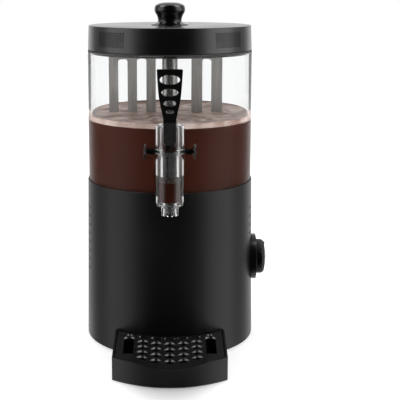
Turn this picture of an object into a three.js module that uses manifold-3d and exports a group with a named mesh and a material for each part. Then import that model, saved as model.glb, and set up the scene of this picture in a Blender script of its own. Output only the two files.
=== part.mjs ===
// Hot drink dispenser: a round heated base, a clear bowl with a stirrer that
// turns on a central column, a lid, a clear tap with a pull lever, and a drip tray.
// Millimetres, +Z up, -Y to the front where the tap and the tray are.
// The origin is the middle of the base plate's underside.
import * as THREE from 'three';
import { mergeVertices } from 'three/addons/utils/BufferGeometryUtils.js';
import Module from 'manifold-3d';

// Driving dimensions of the base
const base_height = 206;
const base_taper = 3.5;
const base_wall = 2.2;
const rim_wall = 1.2;
const rim_edge = 0.8;
const bowl_seat_depth = 7;
const shelf_width = 9;
const shelf_thickness = 2;
const plate_thickness = 1.5;
const floor_vent_radius = 30;
const floor_vent_pitch = 16;
const floor_vent_width = 5;
const floor_vent_half_length = 24;
const foot_height = 4;
const foot_radius = 10;
const foot_ring_radius = 86;
const foot_count = 4;
const foot_screw_radius = 1.9;
const foot_screw_head_radius = 3.6;
const foot_screw_head_height = 2;
const foot_screw_length = 9;
const tab_width = 16;
const tab_length = 18;
const tab_thickness = 2;

// Side vents
const vent_radius = 1.75;
const vent_rows = 8;
const vent_columns = 5;
const vent_row_pitch = 11.3;
const vent_column_pitch = 11.9;
const vent_low_height = 92.8;
const vent_first_angle = 73.9;
const vent_bezel_margin = 12;

// Heating plate, element and drive
const heater_thickness = 3;
const heater_hole_radius = 22;
const gasket_width = 5.6;
const element_ring_radius = 60;
const element_tube_radius = 4;
const element_open_angle = 50;
const element_leg_length = 26;
const bracket_drop = 43.4;
const bracket_width = 44;
const bracket_thickness = 2;
const bracket_half_span = 99;
const gearbox_radius = 30;
const gearbox_height = 24;
const gearbox_boss_radius = 8;
const gearbox_boss_height = 7;
const gearbox_bore_depth = 15;
const ear_reach = 38;
const ear_radius = 6;
const ear_thickness = 5;
const motor_radius = 25;
const motor_height = 30;
const motor_edge = 3;
const motor_screw_radius = 1.9;
const motor_screw_head_radius = 3.6;
const motor_screw_head_height = 2.2;
const motor_screw_length = 9;
const shaft_radius = 4;
const shaft_flat = 2.9;
const shaft_flat_length = 20;
const coupling_radius = 8;
const coupling_height = 16;

// Thermostat and its dial, on the +X side
const dial_height = 99;
const dial_radius = 22.4;
const dial_crown = 3.4;
const dial_depth = 15.6;
const dial_flute_count = 20;
const dial_flute_depth = 0.5;
const pointer_length = 12;
const pointer_width = 2;
const pointer_height = 0.8;
const bezel_radius = 30;
const bezel_proud = 3.5;
const bezel_edge = 1.5;
const bezel_recess = 1.2;
const spindle_radius = 3;
const neck_radius = 5;
const thermostat_depth = 26;
const thermostat_width = 34;
const thermostat_height = 28;

// Inlet and switch, on the back
const rear_fitting_height = 32;
const rear_fitting_offset = 28;
const rear_flange_width = 36;
const rear_flange_height = 28;
const rear_flange_proud = 2.5;
const rear_body_depth = 20;
const rear_body_width = 27;
const rear_body_height = 20;
const socket_width = 21;
const socket_height = 14;
const socket_depth = 15;
const socket_pin_width = 2;
const socket_pin_height = 4;
const socket_pin_length = 10;
const socket_pin_pitch = 7;
const rocker_width = 20;
const rocker_height = 13;
const rocker_depth = 9;
const rocker_tilt = 9;

// Bowl, column and stirrer
const bowl_radius = 104;
const bowl_wall = 2.5;
const bowl_floor = 3;
const bowl_height = 169.7;
const bowl_corner = 4;
const column_radius = 10;
const column_wall = 1.2;
const column_height = 173;
const column_tail = 7;
const column_flange_radius = 18;
const column_flange_thickness = 3;
const column_gasket_thickness = 1.5;
const column_nut_radius = 17;
const column_nut_height = 5;
const bush_length = 12;
const stirrer_thickness = 1.6;
const stirrer_hub_radius = 11;
const stirrer_hub_height = 12;
const stirrer_nut_radius = 8;
const stirrer_nut_height = 5;
const left_slat_radius = 24;
const left_slat_pitch = 24;
const left_slat_width = 12;
const left_slat_count = 3;
const right_slat_radius = 34.5;
const right_slat_pitch = 25.5;
const right_slat_width = 14;
const right_slat_count = 2;
const slat_clearance = 15;
const arm_depth = 22.5;
const arm_rise = 6.7;
const arm_droop = 2.5;
const slat_corner = 3;

// Lid
const lid_inset = 0.5;
const lid_taper = 1.3;
const lid_rise = 32.1;
const lid_wall = 2;
const lid_edge = 1;
const lid_ledge_width = 8;
const lid_ledge_thickness = 1.6;
const lid_collar_depth = 5;
const lid_collar_wall = 1.6;
const lid_collar_gap = 0.6;
const lid_seal_thickness = 1.2;
const mesh_hole_radius = 0.95;
const mesh_angle_pitch = 2.25;
const mesh_rows = 6;
const mesh_columns = 10;
const mesh_rise = 7.7;
const mesh_row_pitch = 3;
const mesh_first_angle = 32.06;
const knob_height = 28;
const knob_radius = 19.5;
const knob_foot_radius = 23.4;
const lid_screw_radius = 2;
const lid_screw_head_radius = 5;
const lid_screw_head_height = 2.4;
const lid_screw_length = 17;

// Tap, measured from its own upright axis and from the lever's pivot
const tap_standoff = 42;
const tap_pivot_rise = 65;
const tap_radius = 16;
const tap_bore_radius = 8.5;
const tap_top = 31;
const tap_bottom = 64;
const tap_floor = 6;
const tap_chamfer = 2.5;
const outlet_radius = 6;
const boss_radius = 10;
const boss_reach = 16.6;
const inlet_drop = 42;
const inlet_radius = 12;
const inlet_bore_radius = 5.5;
const tail_radius = 7.9;
const tail_length = 14;
const tap_flange_radius = 15;
const tap_flange_thickness = 3;
const tap_gasket_thickness = 2;
const tap_nut_radius = 14;
const tap_nut_height = 6;
const nozzle_radius = 10;
const nozzle_bore_radius = 6.5;
const nozzle_height = 10;
const nozzle_neck_radius = 7.8;
const nozzle_neck_height = 3;
const nozzle_lobe_count = 6;
const nozzle_notch_radius = 2;

// Lever, pivot and piston
const lever_length = 93.4;
const lever_half_width = 14.7;
const stem_half_width = 7;
const stem_half_thickness = 3.5;
const stem_foot_rise = 3.6;
const stem_foot_height = 4;
const stem_gap = 0.6;
const lever_slot_rise = 1.6;
const lever_bevel = 0.8;
const pivot_radius = 2;
const cheek_radius = 6.4;
const cheek_inner = 2.9;
const cheek_outer = 5;
const crank_offset = 5;
const crank_radius = 1.2;
const spring_length = 10;
const spring_radius = 2.9;
const spring_wire_radius = 0.5;
const spring_turns = 5.5;
const pin_cap_radius = 8.7;
const pin_cap_thickness = 2.6;
const pin_cap_rim = 0.9;
const blade_half_width = 2.5;
const blade_top = 3;
const blade_slot_half_height = 1.7;
const blade_back = 7.7;
const cheek_recess_reach = 5.6;
const piston_radius = 8;
const piston_guide_top = 7;
const piston_travel = 3.6;
const piston_guide_bottom = 21.4;
const piston_groove_height = 3.8;
const piston_land_height = 1.6;
const piston_rod_radius = 3;
const guide_slot_count = 8;
const guide_slot_width = 2.2;
const guide_slot_depth = 2.4;
const plug_radius = 7.4;
const plug_height = 5.5;
const plug_nose_radius = 5;
const plug_nose_height = 3;

// Drip tray and its grille
const tray_half_width = 67.6;
const tray_length = 79.6;
const tray_front_bow = 22;
const tray_bottom = 3;
const tray_wall = 2;
const tray_floor = 2;
const tray_top_height = 28;
const tray_fall_share = 0.05;
const tray_dip = 6.3;
const tray_dip_half_width = 44.6;
const tray_ledge = 1.6;
const dip_columns = 3;
const dip_rows = 3;
const tray_side_gap = 1.9;
const grille_thickness = 2.8;
const scale_half_width = 6.7;
const scale_back_rise = 5;
const scale_front_rise = 3.8;
const scale_column_pitch = 16.2;
const scale_columns = 5;
const scale_row_pitch = 13.9;
const scale_rows = 5;
const scale_arc_steps = 4;
const scale_setback = 5.3;
const slot_half_width = 6;
const slot_column = 49.3;
const slot_setback = 2.6;
const slot_length = 45;
const corner_scale_advance = 4.6;
const corner_scale_share = 0.65;
const tongue_width = 11;
const tongue_height = 4;
const tongue_length = 12;
const tongue_offset = 35;
const tongue_rise = 11;

// Fits and fineness
const seat_gap = 0.3;
const running_gap = 0.4;
const overrun = 5;
const merge_tolerance = 0.0001;
const round_sides = 40;
const middle_sides = 20;
const tap_sides = 28;
const small_sides = 14;
const tiny_sides = 8;
const hex_sides = 6;
const vent_sides = 5;
const mesh_sides = 4;
const curve_steps = 5;
const spring_sides = 5;
const element_sides = 6;
const element_steps = 30;

const turn = Math.PI * 2;
const quarter_turn = 90;
const degree = turn / (quarter_turn * 4);
const wasm = await Module();
wasm.setup();

// Places that several pieces share
const base_top_radius = bowl_radius + seat_gap + rim_wall;
const base_bottom_radius = base_top_radius + base_taper;
const lid_radius = bowl_radius - lid_inset;
const bowl_bottom = base_height - bowl_seat_depth;
const bowl_top = bowl_bottom + bowl_height;
const bowl_inside_floor = bowl_bottom + bowl_floor;
const bowl_inner_radius = bowl_radius - bowl_wall;
const rim_inner_radius = base_top_radius - rim_wall;
const heater_top = bowl_bottom - seat_gap;
const heater_bottom = heater_top - heater_thickness;
const shelf_top = heater_bottom - seat_gap;
const shelf_bottom = shelf_top - shelf_thickness;
const heater_radius = rim_inner_radius - seat_gap - gasket_width - seat_gap;
const column_flange_bottom = bowl_inside_floor + seat_gap + column_gasket_thickness + seat_gap;
const column_bottom = bowl_bottom - column_tail;
const column_top = bowl_bottom + column_height;
const column_inner_radius = column_radius - column_wall;
const hub_bottom = column_top + seat_gap;
const hub_top = hub_bottom + stirrer_hub_height;
const nut_bottom = hub_top + seat_gap;
const shaft_top = nut_bottom + stirrer_nut_height + seat_gap;
const bracket_height = shelf_bottom - bracket_drop;
const gearbox_top = bracket_height - seat_gap;
const gearbox_bottom = gearbox_top - gearbox_height;
const shaft_bottom = gearbox_top + gearbox_boss_height - gearbox_bore_depth;
const slat_bottom_height = bowl_inside_floor + slat_clearance;
const arm_top_height = hub_bottom + arm_rise;
const arm_bottom_height = arm_top_height - arm_depth;
const bezel_reach = base_bottom_radius + bezel_proud;
const neck_reach = base_bottom_radius;
const tap_reach = bowl_radius + tap_standoff;
const tap_pivot_height = bowl_bottom + tap_pivot_rise;
const lid_top_height = bowl_top + lid_rise;
const seal_bottom = bowl_top + seat_gap;
const ledge_bottom = seal_bottom + lid_seal_thickness + seat_gap;
const lid_bottom = ledge_bottom - lid_collar_depth;
const mesh_low_height = ledge_bottom + mesh_rise;
const tray_back_radius = base_bottom_radius + running_gap;
const tray_front_reach = tray_back_radius + tray_length;
const tray_corner_reach = tray_front_reach - tray_front_bow;
const scale_first_reach = tray_back_radius + scale_setback;
const slot_near_reach = tray_back_radius + slot_setback;
const slot_far_reach = slot_near_reach + slot_length;
const corner_scale_reach = tray_back_radius - corner_scale_advance;

// The base tapers a little from its foot to its rim
function baseRadius(height) {
  return base_bottom_radius + (base_top_radius - base_bottom_radius) * height / base_height;
}

// Solids from closed geometry, and geometry from solids
function solid(geometry) {
  const bare = geometry.clone();
  bare.deleteAttribute('normal');
  bare.deleteAttribute('uv');
  const merged = mergeVertices(bare, merge_tolerance);
  const corners = merged.index.array;
  const kept = [];
  for (let i = 0; i < corners.length; i += 3) {
    const [a, b, c] = corners.slice(i, i + 3);
    if (a !== b && b !== c && c !== a) {
      kept.push(a, b, c);
    }
  }
  return new wasm.Manifold(new wasm.Mesh({
    numProp: 3,
    vertProperties: new Float32Array(merged.attributes.position.array),
    triVerts: new Uint32Array(kept),
  }));
}

function geometryOf(body) {
  const mesh = body.getMesh();
  const geometry = new THREE.BufferGeometry();
  geometry.setAttribute('position', new THREE.BufferAttribute(new Float32Array(mesh.vertProperties), 3));
  geometry.setIndex(new THREE.BufferAttribute(new Uint32Array(mesh.triVerts), 1));
  geometry.computeVertexNormals();
  return geometry;
}

function cut(body, ...tools) {
  return tools.reduce((rest, tool) => rest.subtract(tool), body);
}

function join(body, ...others) {
  return others.reduce((sum, other) => sum.add(other), body);
}

// A profile of radius and height points turned about the Z axis, with a flat to the front
function turned(profile, sides = round_sides) {
  const onAxis = profile[0][0] === 0 && profile[profile.length - 1][0] === 0;
  const closed = onAxis ? profile : [...profile, profile[0]];
  let area = 0;
  closed.forEach(([radius, height], i) => {
    const [nextRadius, nextHeight] = closed[(i + 1) % closed.length];
    area += radius * nextHeight - nextRadius * height;
  });
  const ordered = area > 0 ? closed : [...closed].reverse();
  const points = ordered.map(([r, z]) => new THREE.Vector2(r, z));
  const geometry = new THREE.LatheGeometry(points, sides, Math.PI / sides, turn);
  return solid(geometry.rotateX(Math.PI / 2));
}

// A ring between two radii and two heights
function ring(inner, outer, low, high, sides = round_sides) {
  return turned([[inner, low], [outer, low], [outer, high], [inner, high]], sides);
}

// A plain round bar along Z, X or Y between two places
function barZ(radius, low, high, sides = small_sides) {
  const geometry = new THREE.CylinderGeometry(radius, radius, high - low, sides);
  geometry.rotateY(Math.PI / sides);
  return solid(geometry.rotateX(Math.PI / 2).translate(0, 0, (low + high) / 2));
}

function barX(radius, low, high, sides = small_sides) {
  const geometry = new THREE.CylinderGeometry(radius, radius, high - low, sides);
  return solid(geometry.rotateZ(-Math.PI / 2).translate((low + high) / 2, 0, 0));
}

function barY(radius, low, high, sides = small_sides) {
  const geometry = new THREE.CylinderGeometry(radius, radius, high - low, sides);
  return solid(geometry.translate(0, (low + high) / 2, 0));
}

function block([x0, x1], [y0, y1], [z0, z1]) {
  const geometry = new THREE.BoxGeometry(x1 - x0, y1 - y0, z1 - z0);
  return solid(geometry.translate((x0 + x1) / 2, (y0 + y1) / 2, (z0 + z1) / 2));
}

// A flat outline raised along Z between two heights
function raised(shape, low, high, curveSegments = tiny_sides) {
  const depth = high - low;
  const geometry = new THREE.ExtrudeGeometry(shape, { depth, bevelEnabled: false, curveSegments });
  return solid(geometry.translate(0, 0, low));
}

// An outline drawn in X and Z, with its thickness along Y
function upright(shape, half, bevel = 0) {
  const geometry = new THREE.ExtrudeGeometry(shape, {
    depth: (half - bevel) * 2,
    bevelEnabled: bevel > 0,
    bevelSize: bevel,
    bevelOffset: -bevel,
    bevelThickness: bevel,
    bevelSegments: 1,
    curveSegments: curve_steps,
  });
  return solid(geometry.translate(0, 0, bevel - half).rotateX(Math.PI / 2));
}

function moved(body, x, y, z) {
  return body.translate([x, y, z]);
}

function spun(body, angle) {
  return body.rotate([0, 0, angle]);
}

// Finishes
function finish(color, roughness, metalness) {
  return new THREE.MeshStandardMaterial({ color, roughness, metalness });
}
const black_casing = finish(0x1c1c1d, 0.42, 0);
const black_gloss = finish(0x0a0a0b, 0.16, 0);
const black_plastic = finish(0x161617, 0.5, 0);
const dark_grey = finish(0x3a3b3a, 0.5, 0);
const rubber_black = finish(0x121212, 0.85, 0);
const seal_grey = finish(0x8a8a86, 0.7, 0);
const steel = finish(0xb4b5b3, 0.28, 1);
const aluminium = finish(0xc3c4c6, 0.4, 1);
const brass = finish(0xb89a5a, 0.35, 1);

function clearFinish() {
  const material = finish(0xeef1f2, 0.05, 0);
  material.transparent = true;
  material.opacity = 0.3;
  return material;
}
const clear = clearFinish();

function add(group, name, body, material) {
  const mesh = new THREE.Mesh(geometryOf(body), material);
  mesh.name = name;
  group.add(mesh);
  return mesh;
}

// Base casing
function sideVents(side) {
  const tools = [];
  const step = vent_column_pitch / base_top_radius / degree;
  for (let column = 0; column < vent_columns; column += 1) {
    for (let row = 0; row < vent_rows; row += 1) {
      const height = vent_low_height + row * vent_row_pitch;
      const angle = (vent_first_angle + column * step) * degree;
      const along = Math.cos(angle) * base_bottom_radius;
      const clearOfBezel = Math.hypot(along, height - dial_height) > bezel_radius + vent_bezel_margin;
      if (side < 0 || clearOfBezel) {
        const through = [-base_bottom_radius - overrun, overrun - base_bottom_radius];
        const hole = barY(vent_radius, ...through, vent_sides);
        tools.push(moved(spun(hole, side * angle / degree), 0, 0, height));
      }
    }
  }
  return tools;
}

function plateTab(angle) {
  const reach = baseRadius(plate_thickness) - base_wall / 2;
  const low = plate_thickness + seat_gap;
  const tab = block([reach - tab_length, reach], [-tab_width / 2, tab_width / 2], [low, low + tab_thickness]);
  const hole = barZ(foot_screw_radius + running_gap, 0, low * 2 + tab_thickness, tiny_sides);
  return spun(cut(tab, moved(hole, foot_ring_radius, 0, 0)), angle);
}

function footAngles() {
  const places = [...Array(foot_count).keys()];
  return places.map((place) => (place + 1 / 2) * turn / foot_count / degree);
}

function rearWindow(offset, width, height) {
  const half = [width / 2 + running_gap, height / 2 + running_gap];
  const depth = [base_bottom_radius / 2, base_bottom_radius + overrun];
  const window = block([-half[0], half[0]], depth, [-half[1], half[1]]);
  return moved(window, offset, 0, rear_fitting_height);
}

function tongueSlot(side) {
  const half = tongue_width / 2 + running_gap;
  const middle = side * tongue_offset;
  const low = tongue_rise - running_gap;
  const high = tongue_rise + tongue_height + running_gap;
  const depth = [-base_bottom_radius - overrun, -base_bottom_radius / 2];
  return block([middle - half, middle + half], depth, [low, high]);
}

function baseCasing() {
  const inner = (height) => baseRadius(height) - base_wall;
  const shell = turned([
    [inner(0), 0],
    [baseRadius(0) - rim_edge, 0],
    [baseRadius(0), rim_edge],
    [base_top_radius, base_height - rim_edge],
    [base_top_radius - rim_edge / 2, base_height],
    [rim_inner_radius, base_height],
    [rim_inner_radius, shelf_top],
    [rim_inner_radius - shelf_width, shelf_top],
    [rim_inner_radius - shelf_width, shelf_bottom],
    [inner(shelf_bottom), shelf_bottom],
  ]);
  const tabs = footAngles().map(plateTab);
  const neckSpan = [base_top_radius / 2, base_bottom_radius + overrun];
  const neckHole = moved(barX(neck_radius + running_gap, ...neckSpan), 0, 0, dial_height);
  const windows = [
    rearWindow(-rear_fitting_offset, rear_body_width, rear_body_height),
    rearWindow(rear_fitting_offset, rear_body_width, rear_body_height),
  ];
  const slots = [tongueSlot(-1), tongueSlot(1)];
  return cut(join(shell, ...tabs), ...sideVents(-1), ...sideVents(1), neckHole, ...windows, ...slots);
}

// Base plate with round vent holes in a cross of slots, and its screw holes
function basePlate() {
  const radius = baseRadius(plate_thickness) - base_wall - seat_gap;
  const plate = barZ(radius, 0, plate_thickness, round_sides);
  const tools = [];
  for (let row = -1; row <= 1; row += 1) {
    const middle = row * floor_vent_pitch;
    const half = floor_vent_width / 2;
    const reach = [-floor_vent_half_length, floor_vent_half_length];
    const slot = block(reach, [middle - half, middle + half], [-overrun, overrun]);
    tools.push(moved(slot, floor_vent_radius + floor_vent_half_length / 2, 0, 0));
    tools.push(moved(slot, -floor_vent_radius - floor_vent_half_length / 2, 0, 0));
  }
  footAngles().forEach((angle) => {
    const hole = barZ(foot_screw_radius + running_gap, -overrun, overrun, tiny_sides);
    tools.push(spun(moved(hole, foot_ring_radius, 0, 0), angle));
  });
  return cut(plate, ...tools);
}

function foot() {
  const bore = foot_screw_radius + running_gap;
  const headRoom = foot_screw_head_radius + running_gap;
  const headTop = -foot_height + foot_screw_head_height + seat_gap * 2;
  const edge_share = 0.86;
  return turned([
    [bore, -seat_gap],
    [foot_radius, -seat_gap],
    [foot_radius * edge_share, -foot_height],
    [headRoom, -foot_height],
    [headRoom, headTop],
    [bore, headTop],
  ], small_sides);
}

function footScrew() {
  const low = -foot_height + seat_gap;
  const shoulder = low + foot_screw_head_height;
  return turned([
    [0, low],
    [foot_screw_head_radius, low],
    [foot_screw_head_radius, shoulder],
    [foot_screw_radius, shoulder],
    [foot_screw_radius, low + foot_screw_length],
    [0, low + foot_screw_length],
  ], tiny_sides);
}

// Heating element: an open ring of tube whose two ends turn down
function heatingElement() {
  const height = heater_bottom - seat_gap - element_tube_radius;
  const half = element_open_angle / 2 * degree;
  const points = [];
  const at = (angle, z) => new THREE.Vector3(element_ring_radius, 0, z).applyAxisAngle(upward, angle);
  const upward = new THREE.Vector3(0, 0, 1);
  const leg_step_count = 3;
  const arc_step_count = 18;
  const bend_share = 0.35;
  for (let i = 0; i <= leg_step_count; i += 1) {
    const rise = element_leg_length * (1 - i / leg_step_count) * (1 - bend_share) + element_tube_radius * 2;
    points.push(at(half, height - rise));
  }
  for (let i = 1; i < arc_step_count; i += 1) {
    points.push(at(half + (turn - half * 2) * i / arc_step_count, height));
  }
  for (let i = leg_step_count; i >= 0; i -= 1) {
    const rise = element_leg_length * (1 - i / leg_step_count) * (1 - bend_share) + element_tube_radius * 2;
    points.push(at(turn - half, height - rise));
  }
  return tube(points, element_tube_radius, element_sides, element_steps);
}

// A tube of even section along points
function tube(points, radius, sides, steps) {
  const section = new THREE.Shape();
  for (let i = 0; i < sides; i += 1) {
    const angle = turn * i / sides;
    const [x, y] = [Math.cos(angle) * radius, Math.sin(angle) * radius];
    if (i === 0) section.moveTo(x, y);
    else section.lineTo(x, y);
  }
  section.closePath();
  const extrudePath = new THREE.CatmullRomCurve3(points, false, 'centripetal');
  return solid(new THREE.ExtrudeGeometry(section, { steps, extrudePath, bevelEnabled: false }));
}

// Motor bracket: a strip bent up at both ends to hang from the shelf
function motorBracket() {
  const top = shelf_bottom - seat_gap;
  const outline = new THREE.Shape();
  outline.moveTo(-bracket_half_span, bracket_height);
  outline.lineTo(bracket_half_span, bracket_height);
  outline.lineTo(bracket_half_span, top);
  outline.lineTo(bracket_half_span - bracket_thickness, top);
  outline.lineTo(bracket_half_span - bracket_thickness, bracket_height + bracket_thickness);
  outline.lineTo(bracket_thickness - bracket_half_span, bracket_height + bracket_thickness);
  outline.lineTo(bracket_thickness - bracket_half_span, top);
  outline.lineTo(-bracket_half_span, top);
  outline.closePath();
  const strip = upright(outline, bracket_width / 2);
  const span = [bracket_height - overrun, bracket_height + overrun];
  const bossHole = barZ(gearbox_boss_radius + running_gap, ...span);
  const screwHole = barZ(motor_screw_radius + running_gap, ...span, tiny_sides);
  return cut(strip, bossHole, moved(screwHole, ear_reach, 0, 0), moved(screwHole, -ear_reach, 0, 0));
}

function gearbox() {
  const can = barZ(gearbox_radius, gearbox_bottom, gearbox_top, middle_sides);
  const boss = barZ(gearbox_boss_radius, gearbox_bottom, gearbox_top + gearbox_boss_height);
  const earLow = gearbox_top - ear_thickness;
  const ears = [-1, 1].map((side) => {
    const pad = moved(barZ(ear_radius, earLow, gearbox_top, tiny_sides), side * ear_reach, 0, 0);
    const reach = side > 0 ? [0, ear_reach] : [-ear_reach, 0];
    return join(pad, block(reach, [-ear_radius, ear_radius], [earLow, gearbox_top]));
  });
  const boreTop = gearbox_top + gearbox_boss_height + overrun;
  const bore = barZ(shaft_radius + running_gap, shaft_bottom - seat_gap, boreTop);
  const hole = barZ(motor_screw_radius + running_gap, earLow - overrun, gearbox_top + overrun, tiny_sides);
  const holes = [moved(hole, ear_reach, 0, 0), moved(hole, -ear_reach, 0, 0)];
  return cut(join(can, boss, ...ears), bore, ...holes);
}

function motorCan() {
  const high = gearbox_bottom - seat_gap;
  const low = high - motor_height;
  return turned([
    [0, low],
    [motor_radius - motor_edge, low],
    [motor_radius, low + motor_edge],
    [motor_radius, high],
    [0, high],
  ], middle_sides);
}

function motorScrew() {
  const seat = bracket_height + bracket_thickness + seat_gap;
  const end = seat - motor_screw_length;
  return turned([
    [0, end],
    [motor_screw_radius, end],
    [motor_screw_radius, seat],
    [motor_screw_head_radius, seat],
    [motor_screw_head_radius, seat + motor_screw_head_height],
    [0, seat + motor_screw_head_height],
  ], tiny_sides);
}

// Drive shaft with a flat at its top end
function driveShaft() {
  const bar = barZ(shaft_radius, shaft_bottom, shaft_top, small_sides);
  const wide = shaft_radius * 2;
  const along = [shaft_top - shaft_flat_length, shaft_top + overrun];
  const flat = block([shaft_flat, wide], [-wide, wide], along);
  return cut(bar, flat);
}

// A bore that takes the flatted shaft with an even gap
function flattedBore(low, high) {
  const round = barZ(shaft_radius + seat_gap, low, high, small_sides);
  const wide = shaft_radius * 2;
  return cut(round, block([shaft_flat + seat_gap, wide], [-wide, wide], [low - overrun, high + overrun]));
}

function shaftCoupling() {
  const low = gearbox_top + gearbox_boss_height + seat_gap;
  return ring(shaft_radius + seat_gap, coupling_radius, low, low + coupling_height, small_sides);
}

// Thermostat, bezel and dial, drawn along X with Z = 0 at the dial's axis
function thermostatBody() {
  const high = baseRadius(dial_height) - base_wall - overrun;
  const low = high - thermostat_depth;
  const half = [thermostat_width / 2, thermostat_height / 2];
  const body = block([low, high], [-half[0], half[0]], [-half[1], half[1]]);
  const neck = barX(neck_radius, low, neck_reach);
  const bore = barX(spindle_radius + running_gap, low + overrun, neck_reach + overrun);
  return cut(join(body, neck), bore);
}

function spindle() {
  const low = baseRadius(dial_height) - base_wall - thermostat_depth + seat_gap;
  const high = bezel_reach - bezel_recess + dial_depth - dial_crown;
  return barX(spindle_radius, low, high, tiny_sides);
}

function dialBezel() {
  const bevelled = turned([
    [neck_radius + running_gap, base_top_radius / 2],
    [bezel_radius, base_top_radius / 2],
    [bezel_radius, bezel_reach - bezel_edge],
    [bezel_radius - bezel_edge, bezel_reach],
    [dial_radius + bezel_edge, bezel_reach],
    [dial_radius + bezel_edge - bezel_recess, bezel_reach - bezel_recess],
    [neck_radius + running_gap, bezel_reach - bezel_recess],
  ], middle_sides).rotate([0, quarter_turn, 0]);
  const span = bezel_radius + overrun;
  const wall = turned([
    [0, -span],
    [baseRadius(dial_height - span) + seat_gap, -span],
    [baseRadius(dial_height + span) + seat_gap, span],
    [0, span],
  ]);
  return cut(bevelled, wall);
}

function thermostatDial() {
  const outline = new THREE.Shape();
  const count = dial_flute_count * 2;
  for (let i = 0; i < count; i += 1) {
    const angle = turn * i / count;
    const radius = dial_radius - dial_flute_depth * (1 - Math.cos(angle * dial_flute_count)) / 2;
    const [x, y] = [Math.cos(angle) * radius, Math.sin(angle) * radius];
    if (i === 0) outline.moveTo(x, y);
    else outline.lineTo(x, y);
  }
  outline.closePath();
  const fluted = raised(outline, 0, dial_depth);
  const crown_share = 0.6;
  const envelope = turned([
    [0, -overrun],
    [dial_radius + overrun, -overrun],
    [dial_radius + overrun, dial_depth - dial_crown * 2],
    [dial_radius - dial_crown * crown_share, dial_depth - dial_crown],
    [dial_radius / 2, dial_depth - dial_crown * (1 - crown_share)],
    [0, dial_depth],
  ], middle_sides);
  const bore = barZ(spindle_radius + seat_gap, -overrun, dial_depth - dial_crown, tiny_sides);
  const low = dial_depth - dial_crown - pointer_height;
  const inner = dial_radius - pointer_length - dial_crown;
  const across = [-pointer_width / 2, pointer_width / 2];
  const pointer = block(across, [inner, inner + pointer_length], [low, dial_depth + pointer_height]);
  const lifted = moved(envelope, 0, 0, pointer_height);
  const face = join(fluted.intersect(envelope), pointer.intersect(lifted));
  return moved(cut(face, bore).rotate([0, quarter_turn, 0]), bezel_reach - bezel_recess + seat_gap, 0, 0);
}

// A rear fitting: a flange whose inner side follows the round wall, and a body
// that passes through the window
function rearFitting(offset) {
  const halfFlange = [rear_flange_width / 2, rear_flange_height / 2];
  const face = baseRadius(rear_fitting_height) + rear_flange_proud;
  const inner = face - rear_flange_proud - base_wall - rear_body_depth;
  const [halfWidth, halfHeight] = halfFlange;
  const flange = block([-halfWidth, halfWidth], [base_top_radius / 2, face], [-halfHeight, halfHeight]);
  const span = rear_flange_height;
  const wall = turned([
    [0, -span],
    [baseRadius(rear_fitting_height - span) + seat_gap, -span],
    [baseRadius(rear_fitting_height + span) + seat_gap, span],
    [0, span],
  ]);
  const trimmed = cut(flange, moved(wall, -offset, 0, 0));
  const half = [rear_body_width / 2, rear_body_height / 2];
  const body = block([-half[0], half[0]], [inner, face - rear_flange_proud / 2], [-half[1], half[1]]);
  return { solid: join(trimmed, body), face, inner };
}

function mainsInlet() {
  const fitting = rearFitting(-rear_fitting_offset);
  const half = [socket_width / 2, socket_height / 2];
  const floor = fitting.face - socket_depth;
  const hollow = block([-half[0], half[0]], [floor, fitting.face + overrun], [-half[1], half[1]]);
  const pins = [-1, 0, 1].map((place) => {
    const middle = place * socket_pin_pitch;
    const rise = place === 0 ? socket_pin_height / 2 : -socket_pin_height / 2;
    const wide = [middle - socket_pin_width / 2, middle + socket_pin_width / 2];
    const tall = [rise - socket_pin_height / 2, rise + socket_pin_height / 2];
    return block(wide, [floor - overrun / 2, floor + socket_pin_length], tall);
  });
  return join(cut(fitting.solid, hollow), ...pins);
}

function switchFrame() {
  const fitting = rearFitting(rear_fitting_offset);
  const half = [rocker_width / 2 + running_gap, rocker_height / 2 + running_gap];
  const floor = fitting.face - socket_depth;
  const hollow = block([-half[0], half[0]], [floor, fitting.face + overrun], [-half[1], half[1]]);
  return cut(fitting.solid, hollow);
}

// Rocker: a wedge with a shallow V face, turning about X through its middle
function switchRocker() {
  const half = rocker_height / 2;
  const swell = Math.tan(rocker_tilt * degree) * half;
  const outline = new THREE.Shape();
  outline.moveTo(-rocker_depth + swell, -half / 2);
  outline.lineTo(0, -half + running_gap);
  outline.lineTo(swell, -half + running_gap);
  outline.lineTo(0, 0);
  outline.lineTo(swell, half - running_gap);
  outline.lineTo(0, half - running_gap);
  outline.lineTo(-rocker_depth + swell, half / 2);
  outline.closePath();
  const width = rocker_width - running_gap;
  const geometry = new THREE.ExtrudeGeometry(outline, { depth: width, bevelEnabled: false });
  geometry.translate(0, 0, -width / 2);
  geometry.applyMatrix4(new THREE.Matrix4().makeBasis(
    new THREE.Vector3(0, 1, 0),
    new THREE.Vector3(0, 0, 1),
    new THREE.Vector3(1, 0, 0),
  ));
  return solid(geometry);
}

// Bowl
function bowl() {
  const hub = column_radius + running_gap;
  const shell = turned([
    [hub, bowl_bottom],
    [bowl_radius - bowl_corner, bowl_bottom],
    [bowl_radius - bowl_corner / 4, bowl_bottom + bowl_corner / 4],
    [bowl_radius, bowl_bottom + bowl_corner],
    [bowl_radius, bowl_top],
    [bowl_inner_radius, bowl_top],
    [bowl_inner_radius, bowl_inside_floor + bowl_corner / 2],
    [bowl_inner_radius - bowl_corner / 2, bowl_inside_floor],
    [hub, bowl_inside_floor],
  ]);
  const hole = barY(tail_radius + seat_gap, -bowl_radius - overrun, overrun - bowl_inner_radius);
  return cut(shell, moved(hole, 0, 0, tap_pivot_height - inlet_drop));
}

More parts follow.
